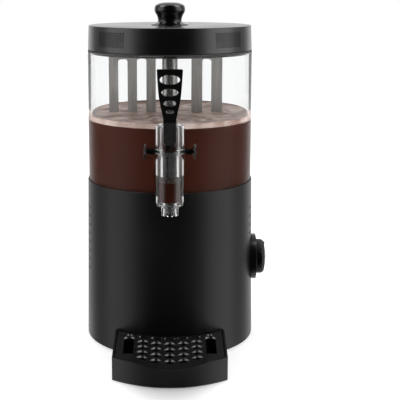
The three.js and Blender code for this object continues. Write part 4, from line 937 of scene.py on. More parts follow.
class DISPENSER_OT_stirrer(bpy.types.Operator):
    """Stirrer sheet with its hub, and the domed nut above it"""

    bl_idname = "dispenser.stirrer"
    bl_label = "Stirrer"

    def execute(self, context):
        shape = bmesh.new()
        add_prism(shape, comb_outline(), -SHEET_HALF, SHEET_HALF)
        stand_up(shape)
        piece = link_shape("stirrer_comb", shape)
        outline = [
            (HUB_BORE, HUB_BOTTOM), (HUB_RADIUS, HUB_BOTTOM), (HUB_RADIUS, HUB_TOP),
            (HUB_BORE, HUB_TOP),
        ]
        combine(piece, revolve(bmesh.new(), eased(outline, 0.5 * MM), steps=48), "UNION")
        soften(piece, 0.25 * MM)
        dress(piece, "steel_up", "stirrer", "steel", "stirrer")
        top = high("stirrer_nut").z
        bottom = low("stirrer_nut").z
        outline = [
            (HUB_BORE, bottom), (NUT_RADIUS, bottom), (NUT_RADIUS, (top + bottom) / 2),
            (NUT_RADIUS * 0.7, top), (HUB_BORE, top),
        ]
        nut = turned_piece("stirrer_cap_nut", eased(outline, 0.8 * MM), steps=48)
        dress(nut, "steel", "stirrer", "steel", "stirrer_nut")
        return {"FINISHED"}


# Lid

LID_RADIUS = high("lid").x / FACET_SHARE
LID_TAPER = 1.3 * MM
LID_BOTTOM = low("lid").z
LID_TOP = high("lid").z
LID_WALL = 2 * MM
LID_HOLE = 2.4 * MM
LEDGE_LOW = high("lid_seal").z + GAP
LEDGE_TOP = LEDGE_LOW + 1.6 * MM
LEDGE_WIDTH = 8 * MM
COLLAR_OUTER = BOWL_INNER - 0.6 * MM
COLLAR_INNER = COLLAR_OUTER - 1.6 * MM
MESH_ROWS = 9
MESH_COLUMNS = 11
MESH_LOW = 377.9 * MM
MESH_ROW_PITCH = 2 * MM
MESH_FIRST_ANGLE = 32.06
MESH_ANGLE_PITCH = 2.25
MESH_HOLE_RADIUS = 1.0 * MM


def mesh_tools(side):
    """Staggered rows of small holes in the lid's side"""
    tools = bmesh.new()
    for row, column in product(range(MESH_ROWS), range(MESH_COLUMNS)):
        angle = side * (MESH_FIRST_ANGLE + (column + (row % 2) / 2) * MESH_ANGLE_PITCH)
        height = MESH_LOW + row * MESH_ROW_PITCH
        outside = around(angle, LID_RADIUS + REACH, height)
        inside = around(angle, LID_RADIUS - LID_WALL - MM, height)
        add_rod(tools, MESH_HOLE_RADIUS, outside, inside, 8)
    return tools


class DISPENSER_OT_lid(bpy.types.Operator):
    """Lid with its two patches of small holes"""

    bl_idname = "dispenser.lid"
    bl_label = "Lid"

    def execute(self, context):
        wall_inner = LID_RADIUS - LID_WALL
        ceiling = LID_TOP - LID_WALL
        outline = [
            (LID_HOLE, ceiling), (wall_inner - LID_TAPER, ceiling), (wall_inner, LEDGE_TOP),
            (wall_inner - LEDGE_WIDTH, LEDGE_TOP), (wall_inner - LEDGE_WIDTH, LEDGE_LOW),
            (COLLAR_INNER, LEDGE_LOW), (COLLAR_INNER, LID_BOTTOM), (COLLAR_OUTER, LID_BOTTOM),
            (COLLAR_OUTER, LEDGE_LOW), (LID_RADIUS, LEDGE_LOW),
            (LID_RADIUS - LID_TAPER, LID_TOP), (LID_HOLE, LID_TOP),
        ]
        piece = turned_piece("lid_cap", eased(outline, 0.8 * MM))
        for side in (-1, 1):
            combine(piece, mesh_tools(side))
        dress(piece, "lid", "lid", "gloss_black", "lid")
        skin = LID_RADIUS - LID_TAPER - LID_WALL / 2
        # Painted shade on the lid's inner faces and the walls of its small holes
        paint_shade_inside(piece, LEDGE_TOP - 0.5 * MM, LID_TOP - LID_WALL / 2, skin)
        return {"FINISHED"}


KNOB_RADIUS = 19.5 * MM
KNOB_FOOT_FACETS = 28
KNOB_BORE_DEPTH = 17.5 * MM
KNOB_SKIRT = (0.93, 0.09)
KNOB_CURVE = [
    (0.785, 0.14), (0.772, 0.21), (0.795, 0.323), (0.876, 0.461), (0.975, 0.575), (1, 0.69),
    (0.977, 0.783), (0.9, 0.876), (0.61, 0.968),
]


def through_points(points, steps):
    """A smooth run through points, as a Catmull-Rom curve"""
    vectors = [Vector(p) for p in (points[0], *points, points[-1])]
    result = []
    for a, b, c, d in zip(vectors, vectors[1:], vectors[2:], vectors[3:]):
        bend = 2 * a - 5 * b + 4 * c - d
        twist = 3 * b - a - 3 * c + d
        for i in range(steps):
            t = i / steps
            point = 0.5 * ((2 * b) + (c - a) * t + bend * t ** 2 + twist * t ** 3)
            result.append(tuple(point))
    result.append(tuple(vectors[-1]))
    return result


class DISPENSER_OT_knob(bpy.types.Operator):
    """Turned lid knob on its wide foot"""

    bl_idname = "dispenser.knob"
    bl_label = "Lid knob"

    def execute(self, context):
        foot = low("lid_knob").z
        crown = high("lid_knob").z
        foot_radius = high("lid_knob").y / math.cos(math.pi / KNOB_FOOT_FACETS)
        tall = crown - foot
        waist, *neck = [
            (share * KNOB_RADIUS, foot + rise * tall) for share, rise in (KNOB_SKIRT, *KNOB_CURVE)
        ]
        outline = [
            (LID_HOLE, foot), (foot_radius, foot), (foot_radius, foot + 0.02 * tall), waist,
            *through_points(neck + [(0.3 * KNOB_RADIUS, crown - 0.004 * tall)], 4),
            (NEAR_AXIS, crown), (NEAR_AXIS, foot + KNOB_BORE_DEPTH),
            (LID_HOLE, foot + KNOB_BORE_DEPTH),
        ]
        piece = turned_piece("knob", outline, steps=96)
        dress(piece, "gloss", "lid", "gloss_black", "lid_knob", smooth_angle=40)
        return {"FINISHED"}


# Tap

FLANGE_GAP = 2.6 * MM
SLOT_HALF = 7.6 * MM


def tap_point(x, y, z):
    """A place measured from the lever's pivot"""
    return Vector((x, TAP_Y + y, PIVOT_HEIGHT + z))


class DISPENSER_OT_tap(bpy.types.Operator):
    """Clear tap body with its branch, bosses, bore and front slot"""

    bl_idname = "dispenser.tap"
    bl_label = "Tap body"

    def execute(self, context):
        chamfer = 2.5 * MM
        outline = [
            (0, TAP_BOTTOM), (TAP_RADIUS - chamfer, TAP_BOTTOM),
            (TAP_RADIUS, TAP_BOTTOM + chamfer), (TAP_RADIUS, TAP_TOP - chamfer / 2),
            (TAP_RADIUS - chamfer / 2, TAP_TOP), (0, TAP_TOP),
        ]
        piece = turned_piece("tap_housing", eased(outline, MM), "Z", (0, TAP_Y, 0), 96)
        drop = BRANCH_HEIGHT - PIVOT_HEIGHT
        tail_end = high("tap_body").y - TAP_Y
        self.join_bars(piece, drop, tail_end)
        self.cut_hollows(piece, drop, tail_end)
        soften(piece, 0.5 * MM, 2, 50)
        dress(piece, "tap", "bowl", "clear", "tap_body")
        return {"FINISHED"}

    def join_bars(self, piece, drop, tail_end):
        """Branch, flange, threaded tail and the bosses of the pivot"""
        wall = -BOWL_RADIUS - FLANGE_GAP - TAP_Y
        boss = 16.6 * MM
        for radius, start, end, steps in (
            (12 * MM, (0, 0, drop), (0, wall, drop), 64),
            (15 * MM, (0, wall - 3 * MM, drop), (0, wall, drop), 64),
            (7.9 * MM, (0, 0, drop), (0, tail_end, drop), 48),
            (10 * MM, (-boss, 0, 0), (boss, 0, 0), 64),
        ):
            combine_rod(piece, radius, tap_point(*start), tap_point(*end), steps, "UNION")

    def cut_hollows(self, piece, drop, tail_end):
        """Bore, outlet, nozzle's seat, passage, pin's hole and the lever's slot"""
        bottom = TAP_BOTTOM - PIVOT_HEIGHT
        top = TAP_TOP - PIVOT_HEIGHT
        below = (0, 0, bottom - REACH)
        pin = 32 * MM
        for radius, start, end, steps in (
            (TAP_BORE, (0, 0, bottom + 6 * MM), (0, 0, top + REACH), 64),
            (6 * MM, below, (0, 0, bottom + 7 * MM), 48),
            (8.1 * MM, below, (0, 0, bottom + 3.3 * MM), 48),
            (5.5 * MM, (0, 0, drop), (0, tail_end + REACH, drop), 48),
            (PIN_HOLE, (-pin, 0, 0), (pin, 0, 0), 24),
        ):
            combine_rod(piece, radius, tap_point(*start), tap_point(*end), steps)
        slot = bmesh.new()
        front = tap_point(-SLOT_HALF, -TAP_RADIUS - REACH, 1.6 * MM)
        add_slab(slot, front, tap_point(SLOT_HALF, 0, top + REACH))
        combine(piece, slot)


NOZZLE_BORE = 6.5 * MM
NOZZLE_NECK = 7.8 * MM
NOZZLE_RADIUS = 10 * MM
NOZZLE_NOTCHES = 6


class DISPENSER_OT_nozzle(bpy.types.Operator):
    """Clear nozzle with a scalloped lower edge"""

    bl_idname = "dispenser.nozzle"
    bl_label = "Nozzle"

    def execute(self, context):
        top = TAP_BOTTOM - GAP
        bottom = low("tap_nozzle").z
        outline = [
            (NOZZLE_BORE, bottom), (NOZZLE_RADIUS, bottom), (NOZZLE_RADIUS, top),
            (NOZZLE_NECK, top), (NOZZLE_NECK, top + 3 * MM), (NOZZLE_BORE, top + 3 * MM),
        ]
        at = Vector((0, TAP_Y, 0))
        piece = turned_piece("nozzle", eased(outline, 0.6 * MM), "Z", at, 96)
        notches = bmesh.new()
        for i in range(NOZZLE_NOTCHES):
            angle = (i + 0.5) * 360 / NOZZLE_NOTCHES
            start = around(angle, NOZZLE_BORE / 2, bottom) + at
            add_rod(notches, 2 * MM, start, around(angle, NOZZLE_RADIUS + REACH, bottom) + at)
        combine(piece, notches)
        soften(piece, 0.3 * MM, 2, 50)
        dress(piece, "tap", "bowl", "clear", "tap_nozzle")
        return {"FINISHED"}


LEVER_LENGTH = high("tap_lever").z - PIVOT_HEIGHT
LEVER_HALF_WIDTH = high("tap_lever").x
STEM_HALF_WIDTH = 7 * MM
STEM_HALF = 3.5 * MM
CHEEK_RADIUS = 6.4 * MM
CRANK_RADIUS = 1.2 * MM
CRANK_THROW = 5 * MM
# Height share and share of the flare, and the holes' height, width and rise shares
LEVER_FLARE = [(0.37, 0), (0.43, 0.12), (0.555, 0.46), (0.68, 0.72), (0.815, 0.86)]
LEVER_HOLES = [
    (0.875, 0.78, 0.0615), (0.722, 0.64, 0.049), (0.592, 0.487, 0.0375), (0.49, 0.31, 0.023),
]


def lever_outline():
    """Half widths against heights, from the foot to the top, then back down"""
    foot = 3.6 * MM
    foot_high = foot + 4 * MM
    flare_width = LEVER_HALF_WIDTH - STEM_HALF_WIDTH
    flare = [(STEM_HALF_WIDTH + flare_width * w, LEVER_LENGTH * h) for h, w in LEVER_FLARE]
    right = [
        (5 * MM, foot), (5 * MM, foot_high), (STEM_HALF_WIDTH, foot_high + 2 * MM),
        *through_points(flare + [(LEVER_HALF_WIDTH, LEVER_LENGTH - MM)], 5),
        (LEVER_HALF_WIDTH - MM, LEVER_LENGTH),
    ]
    return right + [(-x, z) for x, z in reversed(right)]


def oval(height_share, width_share, rise_share, steps=48):
    """Outline of one of the lever's holes"""
    points = []
    for i in range(steps):
        angle = 2 * math.pi * i / steps
        x = math.cos(angle) * LEVER_HALF_WIDTH * width_share
        rise = math.sin(angle) * LEVER_LENGTH * rise_share
        points.append((x, LEVER_LENGTH * height_share + rise))
    return points


class DISPENSER_OT_lever(bpy.types.Operator):
    """Pull lever with its oval holes, fork cheeks and crank pin"""

    bl_idname = "dispenser.lever"
    bl_label = "Lever"

    def execute(self, context):
        pivot = tap_point(0, 0, 0)
        shape = bmesh.new()
        add_prism(shape, lever_outline(), -STEM_HALF, STEM_HALF)
        stand_up(shape, pivot)
        piece = link_shape("lever", shape)
        holes = bmesh.new()
        for shares in LEVER_HOLES:
            add_prism(holes, oval(*shares), -4 * STEM_HALF, 4 * STEM_HALF)
        stand_up(holes, pivot)
        combine(piece, holes)
        cheeks = bmesh.new()
        for side in (-1, 1):
            inner = tap_point(side * 2.9 * MM, 0, 0)
            add_rod(cheeks, CHEEK_RADIUS, inner, tap_point(side * 5 * MM, 0, 0), 48)
        combine(piece, cheeks, "UNION")
        combine_rod(piece, PIN_HOLE, tap_point(-8 * MM, 0, 0), tap_point(8 * MM, 0, 0))
        ends = [tap_point(x, CRANK_THROW, 0) for x in (-5 * MM, 5 * MM)]
        combine_rod(piece, CRANK_RADIUS, *ends, operation="UNION")
        soften(piece, 0.9 * MM, 3, 50)
        dress(piece, "lever", "lever", "gloss_black", "tap_lever")
        return {"FINISHED"}


CAP_RADIUS = 8.7 * MM
CAP_RIM = 0.9 * MM
SPRING_WIRE = 0.7 * MM
SPRING_RADIUS = 3.2 * MM
SPRING_TURNS = 5.5
SPRING_STEPS = 24
WIRE_SIDES = 10


def spring_ring(middle, outward):
    """Points round the spring's wire"""
    points = []
    for i in range(WIRE_SIDES):
        lap = 2 * math.pi * i / WIRE_SIDES
        side = Vector((math.sin(lap) * SPRING_WIRE, 0, 0))
        points.append(middle + outward * math.cos(lap) * SPRING_WIRE + side)
    return points


class DISPENSER_OT_pivot(bpy.types.Operator):
    """Pivot pin, its two clear caps and the two coil springs"""

    bl_idname = "dispenser.pivot"
    bl_label = "Pivot and springs"

    def execute(self, context):
        reach = high("pivot_pin").x
        outline = [(0, -reach), (2 * MM, -reach), (2 * MM, reach), (0, reach)]
        pin = turned_piece("pivot", eased(outline, 0.4 * MM), "X", tap_point(0, 0, 0), 32)
        dress(pin, "pin", "lever", "steel", "pivot_pin")
        for side, word in ((-1, "left"), (1, "right")):
            self.make_cap("X" if side > 0 else "-X", word)
            self.make_spring(side, word)
        return {"FINISHED"}

    def make_cap(self, axis, word):
        inner = low("pin_cap_right").x
        outer = high("pin_cap_right").x
        floor = inner + 1.6 * MM
        lip = outer - CAP_RIM
        outline = [
            (NEAR_AXIS, lip), (CAP_RADIUS - CAP_RIM, lip), (CAP_RADIUS - CAP_RIM, outer),
            (CAP_RADIUS, outer), (CAP_RADIUS, inner), (PIN_HOLE, inner), (PIN_HOLE, floor),
            (NEAR_AXIS, floor),
        ]
        name = "cap_" + word
        piece = turned_piece(name, eased(outline, 0.3 * MM), axis, tap_point(0, 0, 0), 64)
        dress(piece, "cap", "lever", "clear", "pin_" + name)

    def make_spring(self, side, word):
        start = low("lever_spring_right").x
        end = high("lever_spring_right").x
        count = int(SPRING_TURNS * SPRING_STEPS)
        layers = []
        for i in range(count + 1):
            angle = 2 * math.pi * i / SPRING_STEPS
            along = start + SPRING_WIRE + (end - start - 2 * SPRING_WIRE) * i / count
            outward = Vector((0, math.cos(angle), math.sin(angle)))
            centre = tap_point(side * along, 0, 0) + outward * SPRING_RADIUS
            layers.append(spring_ring(centre, outward))
        shape = bmesh.new()
        add_layers(shape, layers)
        piece = link_shape("spring_" + word, shape)
        node = "lever_spring_" + word
        dress(piece, "spring", "bowl", "spring_steel", node, smooth_angle=60)


PISTON_RADIUS = 8 * MM
PISTON_SLOTS = 8


class DISPENSER_OT_piston(bpy.types.Operator):
    """Slotted piston with its ring and outlet plug"""

    bl_idname = "dispenser.piston"
    bl_label = "Piston"

    def execute(self, context):
        self.make_body()
        bottom, top = low("piston_ring").z, high("piston_ring").z
        self.make_rubber("ring", "piston_ring", 0.6 * MM, [
            (6.4 * MM, bottom), (7.3 * MM, bottom), (8.35 * MM, (bottom + top) / 2),
            (7.3 * MM, top), (6.4 * MM, top),
        ])
        bottom, top = low("outlet_plug").z, high("outlet_plug").z
        seat = bottom + 3 * MM
        floor = seat + 2.15 * MM
        hole = 3.3 * MM
        self.make_rubber("plug", "outlet_plug", 0.4 * MM, [
            (0, bottom), (5 * MM, bottom), (5.3 * MM, seat), (7.4 * MM, seat),
            (7.4 * MM, seat + 2.75 * MM), (5 * MM, top), (hole, top), (hole, floor), (0, floor),
        ])
        return {"FINISHED"}

    def make_rubber(self, name, node, ease, outline):
        piece = turned_piece(name, eased(outline, ease), "Z", (0, TAP_Y, 0), 64)
        dress(piece, "rubber", "piston", "rubber_black", node)

    def make_body(self):
        top = -7 * MM
        guide_bottom = -21.4 * MM
        land_top = guide_bottom - 3.8 * MM
        land_bottom = land_top - 1.6 * MM
        rod_bottom = low("piston").z - PIVOT_HEIGHT
        radius, groove, rod = PISTON_RADIUS, 6.1 * MM, 3 * MM
        outline = [
            (0, rod_bottom), (rod, rod_bottom), (rod, land_bottom), (radius, land_bottom),
            (radius, land_top), (groove, land_top), (groove, guide_bottom),
            (radius, guide_bottom), (radius, top), (0, top),
        ]
        pivot = tap_point(0, 0, 0)
        piece = turned_piece("piston_body", eased(outline, 0.25 * MM), "Z", pivot, 64)
        slots = bmesh.new()
        for i in range(PISTON_SLOTS):
            turn = Matrix.Rotation(math.radians(360 / PISTON_SLOTS * (i + 0.5)), 4, "Z")
            place = Matrix.Translation(pivot) @ turn
            corner = (-1.1 * MM, 5.6 * MM, -19.8 * MM)
            add_slab(slots, corner, (1.1 * MM, 12 * MM, 5 * MM), place)
        combine(piece, slots)
        recess = [tap_point(x, 0, -3.6 * MM) for x in (-5.6 * MM, 5.6 * MM)]
        combine_rod(piece, 6.8 * MM, *recess, 48)
        blade = bmesh.new()
        half, back = 2.5 * MM, 7.6 * MM
        for front, bottom, height in (
            (2.8 * MM, -15.6 * MM, -1.7 * MM), (6.4 * MM, -1.8 * MM, 3 * MM),
            (2.8 * MM, 1.7 * MM, 3 * MM),
        ):
            add_slab(blade, tap_point(-half, front, bottom), tap_point(half, back, height))
        combine(piece, blade, "UNION")
        dress(piece, "piston", "piston", "dark_grey", "piston")


FROTH_HOLE = 3.2 * MM


class DISPENSER_OT_tap_drink(bpy.types.Operator):
    """Drink and froth that stand in the tap below the piston"""

    bl_idname = "dispenser.tap_drink"
    bl_label = "Drink in the tap"

    def execute(self, context):
        bottom = TAP_BOTTOM + 6.2 * MM
        level = sizes().tap_drink_level
        froth = sizes().froth_level
        radius = TAP_BORE + WETTING
        at = (0, TAP_Y, 0)
        outline = eased([(0, bottom), (radius, bottom), (radius, level), (0, level)], 0.2 * MM)
        body = turned_piece("tap_drink", outline, "Z", at, 64)
        dress(body, "tap_drink", "bowl", "clear")
        outline = [
            (FROTH_HOLE, level + WETTING), (radius, level + WETTING),
            *((radius, level + (froth - level) * i / 6) for i in range(1, 6)),
            (radius * 0.8, froth), (radius * 0.55, froth - 0.6 * MM),
            (FROTH_HOLE, froth - 1.2 * MM),
        ]
        shape = revolve(bmesh.new(), outline, "Z", at, 64)
        for vert in shape.verts:
            if vert.co.z > level + MM:
                vert.co.z += noise.noise(vert.co * 420) * 0.9 * MM
        piece = link_shape("tap_froth", shape)
        dress(piece, "tap_froth", "bowl", "clear", smooth_angle=60)
        return {"FINISHED"}


# Tray and grille

TRAY_HALF_WIDTH = high("drip_tray").x
TRAY_FRONT = -low("drip_tray").y
TRAY_BOTTOM = low("drip_tray").z
TRAY_CORNER = TRAY_FRONT - 22 * MM
TRAY_BACK_RADIUS = BASE_BOTTOM_RADIUS + 0.4 * MM
TRAY_TOP = 28 * MM
TRAY_CEILING = 2 * TRAY_TOP
TRAY_FALL_SHARE = 0.05
TRAY_DIP = 6.3 * MM
TRAY_DIP_HALF = 44.6 * MM
TRAY_WALL = 2 * MM
TRAY_LEDGE = 1.6 * MM
SIDE_GAP = 1.9 * MM
GRILLE_GAP = 0.4 * MM
GRILLE_THICKNESS = 2.8 * MM


def tray_front_arc():
    """Radius and centre of the tray's front arc, seen from above"""
    sag = TRAY_FRONT - TRAY_CORNER
    radius = (TRAY_HALF_WIDTH ** 2 + sag ** 2) / (2 * sag)
    return radius, TRAY_FRONT - radius


def arc(radius, centre, half, turn, steps=48):
    """Points of an arc seen from above, from one side of the tray to the other"""
    reach = math.asin(half / radius) * turn
    angles = (-reach + 2 * reach * i / steps for i in range(steps + 1))
    return [(math.sin(a) * radius, -centre - math.cos(a) * radius) for a in angles]


def tray_outline(side, inset):
    """Outline of the tray from above, moved in from its sides and from its two arcs"""
    half = TRAY_HALF_WIDTH - side
    radius, centre = tray_front_arc()
    return arc(radius - inset, centre, half, 1) + arc(TRAY_BACK_RADIUS + inset, 0, half, -1)


def tray_top(x, y):
    """Height of the tray's top: a gentle fall to the front with a dip in the middle"""
    plane = TRAY_TOP + TRAY_FALL_SHARE * (y + BASE_TOP_RADIUS)
    share = min(max((-y - TRAY_BACK_RADIUS) / (TRAY_FRONT - TRAY_BACK_RADIUS), 0), 1)
    dip = max(1 - (x / TRAY_DIP_HALF) ** 2, 0) ** 1.25
    return plane - TRAY_DIP * dip * share


def top_slab(below, above, columns=64, rows=28):
    """A block that follows the tray's top between two offsets"""
    half = TRAY_HALF_WIDTH + REACH
    back = -TRAY_BACK_RADIUS / 2
    front = -TRAY_FRONT - REACH
    shape = bmesh.new()
    verts = {}
    for k, r, c in product((0, 1), range(rows + 1), range(columns + 1)):
        x = -half + 2 * half * c / columns
        y = back + (front - back) * r / rows
        verts[k, r, c] = shape.verts.new((x, y, tray_top(x, y) + (above if k else below)))

    def add_face(*corners):
        shape.faces.new([verts[corner] for corner in corners])

    for k, r, c in product((0, 1), range(rows), range(columns)):
        add_face((k, r, c), (k, r, c + 1), (k, r + 1, c + 1), (k, r + 1, c))
    for r, c in product((0, rows), range(columns)):
        add_face((0, r, c), (0, r, c + 1), (1, r, c + 1), (1, r, c))
    for c, r in product((0, columns), range(rows)):
        add_face((0, r, c), (0, r + 1, c), (1, r + 1, c), (1, r, c))
    return shape


class DISPENSER_OT_tray(bpy.types.Operator):
    """Drip tray with a scooped top edge and its tongues"""

    bl_idname = "dispenser.tray"
    bl_label = "Drip tray"

    def execute(self, context):
        shape = bmesh.new()
        add_prism(shape, tray_outline(0, 0), TRAY_BOTTOM, TRAY_CEILING)
        piece = link_shape("tray", shape)
        combine(piece, top_slab(0, TRAY_CEILING))
        well = bmesh.new()
        inset = TRAY_WALL + TRAY_LEDGE
        outline = tray_outline(inset + SIDE_GAP, inset)
        add_prism(well, outline, TRAY_BOTTOM + 2 * MM, TRAY_CEILING)
        combine(piece, well)
        self.cut_rebate(piece)
        tongues = bmesh.new()
        back = -TRAY_BACK_RADIUS
        for side in (-1, 1):
            x = side * TONGUE_MIDDLE
            corner = (x - TONGUE_HALF_WIDTH, back - MM, TONGUE_LOW)
            add_slab(tongues, corner, (x + TONGUE_HALF_WIDTH, back + 12 * MM, TONGUE_HIGH))
        combine(piece, tongues, "UNION")
        soften(piece, 0.45 * MM, 3, 40)
        dress(piece, "tray", "tray", "matte_black", "drip_tray")
        return {"FINISHED"}

    def cut_rebate(self, piece):
        """Cuts the step that the grille lies on"""
        shape = bmesh.new()
        add_prism(shape, tray_outline(TRAY_WALL, TRAY_WALL), 2 * MM, TRAY_CEILING)
        rebate = link_shape("tray_rebate", shape)
        combine(rebate, top_slab(-GRILLE_THICKNESS - GAP, TRAY_CEILING), "INTERSECT")
        tool = bmesh.new()
        tool.from_mesh(rebate.data)
        bpy.data.objects.remove(rebate)
        combine(piece, tool)


SCALE_HALF_WIDTH = 6.7 * MM
SCALE_BACK_RISE = 5 * MM
SCALE_FRONT_RISE = 3.8 * MM
SCALE_COLUMNS = range(-2, 3)
SCALE_COLUMN_PITCH = 16.2 * MM
SCALE_ROWS = 5
SCALE_ROW_PITCH = 13.9 * MM
SCALE_FIRST = 114.7 * MM
CORNER_SCALE = 104.8 * MM
CORNER_SHARE = 0.65
SLOT_COLUMN = 49.3 * MM
SLOT_HALF_WIDTH = 6 * MM
SLOT_NEAR = 112 * MM
SLOT_FAR = 157 * MM
SCOOP_BACK = 1.7 * MM
SCOOP_DEPTH = 1.7 * MM
SCOOP_SIDE_SHARE = 0.4


def bezier(start, control, end, steps=8):
    """Points of a curve with one control point, without its end"""
    return [
        tuple(
            a * (1 - t) ** 2 + 2 * b * t * (1 - t) + c * t ** 2
            for a, b, c in zip(start, control, end)
        )
        for t in (i / steps for i in range(steps))
    ]


def scale_outline(x, y, share, scoop=0):
    """A hole like a fish scale: a high arc at the back and a flatter one in front"""
    half = SCALE_HALF_WIDTH * share + scoop * SCOOP_SIDE_SHARE
    left = (x - half, y)
    right = (x + half, y)
    points = bezier(left, (x, y - 2 * SCALE_FRONT_RISE * share), right)
    return points + bezier(right, (x, y + 2 * (SCALE_BACK_RISE * share + scoop)), left)


def slot_outline(x, scoop=0):
    """A long slot with an arched back end"""
    back = scoop - SLOT_NEAR
    left, right = x - SLOT_HALF_WIDTH, x + SLOT_HALF_WIDTH
    arch = bezier((right, back), (x, back + SCALE_BACK_RISE), (left, back))
    return [(left, back), (left, -SLOT_FAR), (right, -SLOT_FAR), *arch]


def add_scooped(shape, outline, *place):
    """Adds the cutter of one hole, which widens to a scoop at the grille's top"""
    lower = outline(*place)
    upper = outline(*place, SCOOP_BACK)
    add_layers(shape, [
        [(x, y, 0) for x, y in lower],
        [(x, y, tray_top(x, y) - SCOOP_DEPTH) for x, y in lower],
        [(x, y, tray_top(x, y) + 0.1 * MM) for x, y in upper],
        [(x, y, TRAY_CEILING) for x, y in upper],
    ])


class DISPENSER_OT_grille(bpy.types.Operator):
    """Tray grille with rows of scale-shaped holes"""

    bl_idname = "dispenser.grille"
    bl_label = "Grille"

    def execute(self, context):
        shape = bmesh.new()
        outline = tray_outline(TRAY_WALL + SIDE_GAP, TRAY_WALL + GRILLE_GAP)
        add_prism(shape, outline, 0, TRAY_CEILING)
        piece = link_shape("grille", shape)
        combine(piece, top_slab(-GRILLE_THICKNESS, 0), "INTERSECT")
        holes = bmesh.new()
        for column in SCALE_COLUMNS:
            x = column * SCALE_COLUMN_PITCH
            sag = SCALE_FIRST - math.sqrt(SCALE_FIRST ** 2 - x ** 2)
            for row in range(SCALE_ROWS):
                y = sag - SCALE_FIRST - row * SCALE_ROW_PITCH
                add_scooped(holes, scale_outline, x, y, 1)
        for x in (-SLOT_COLUMN, SLOT_COLUMN):
            add_scooped(holes, scale_outline, x, -CORNER_SCALE, CORNER_SHARE)
            add_scooped(holes, slot_outline, x)
        combine(piece, holes)
        soften(piece, 0.35 * MM, 2, 40)
        dress(piece, "grille", "grille", "matte_black", "tray_grille")
        return {"FINISHED"}


# Stage

CAMERA_PLACE = (0, -1.2117, 0.4499)
CAMERA_PITCH_DEG = 10.88
CAMERA_LENS = 85.6
CAMERA_SENSOR = 36
CAMERA_SHIFT = (0.0754, -0.08)
FLOOR_HEIGHT = low("foot_1").z
FLOOR_HALF = 6
FLOOR_COLOR = (0.72, 0.72, 0.72)
# Glow of the floor near the dispenser and far from it: weaker near it, a painted shadow round its
# foot and in front of the tray
FLOOR_GLOW_WITH_PAINTED_SHADOW = (0.0, 0.56)
PAINTED_SHADOW_REACH = (0.04, 0.12)
PAINTED_SHADOW_MIDDLE = (0, -0.15, 0)
PAINTED_SHADOW_SPREAD = (1.6, 1, 1)
SOFTBOXES = (1.75, 2.3)
# Places from the dispenser's front at 0 to its back at 1, with the room's level there
GLOSSY_ROOM = (
    (0, 0.004), (0.06, 0.012), (0.14, 0.2), (0.25, 0.95), (0.5, 1), (0.62, 0.24), (0.8, 0.2),
    (0.92, 0.55), (1, 0.55),
)
CLEAR_ROOM = ((0, 0.14), (0.08, 0.18), (0.22, 0.75), (0.38, 2.1), (0.5, 2.1), (0.62, 1), (1, 1))
DIFFUSE_ROOM = ((0, 0.4), (0.1, 0.5), (0.3, 0.95), (1, 0.95))
LIGHT_TARGET = Vector((0, 0, 0.25))
# Name, place, size, watts and whether it is seen only in reflections
LIGHTS = (
    ("key_left", (-1.1, -0.9, 1.0), (0.5, 1.2), 3.5, False),
    ("key_right", (1.1, -0.9, 0.9), (0.5, 1.2), 2.8, False),
    ("top", (0, 0.1, 1.5), (1.2, 0.8), 5, False),
    ("strip_left", (-0.75, -0.15, 1.3), (0.35, 0.8), 8, True),
    ("strip_right", (0.75, -0.15, 1.3), (0.35, 0.8), 8, True),
)


def room_level(tree, heading, stops):
    """The room's brightness round the dispenser, from its front at 0 to its back at 1"""
    ramp = add_node(tree, "ValToRGB", {"Fac": heading})
    ramp.color_ramp.interpolation = "EASE"
    elements = ramp.color_ramp.elements
    elements.remove(elements[1])
    for place, level in stops:
        element = elements.new(place) if place > 0 else elements[0]
        element.color = (level, level, level, 1)
    return ramp.outputs["Color"]


def room_heading(tree):
    """How far a direction points to the back, 0 to 1, and the softboxes' level on its side"""
    unit = flattened(tree, "Generated")[1]
    back = map_range(tree, along_axis(tree, unit, "Y"), (-1, 1))
    return back, map_range(tree, along_axis(tree, unit, "X"), (-1, 1), SOFTBOXES)


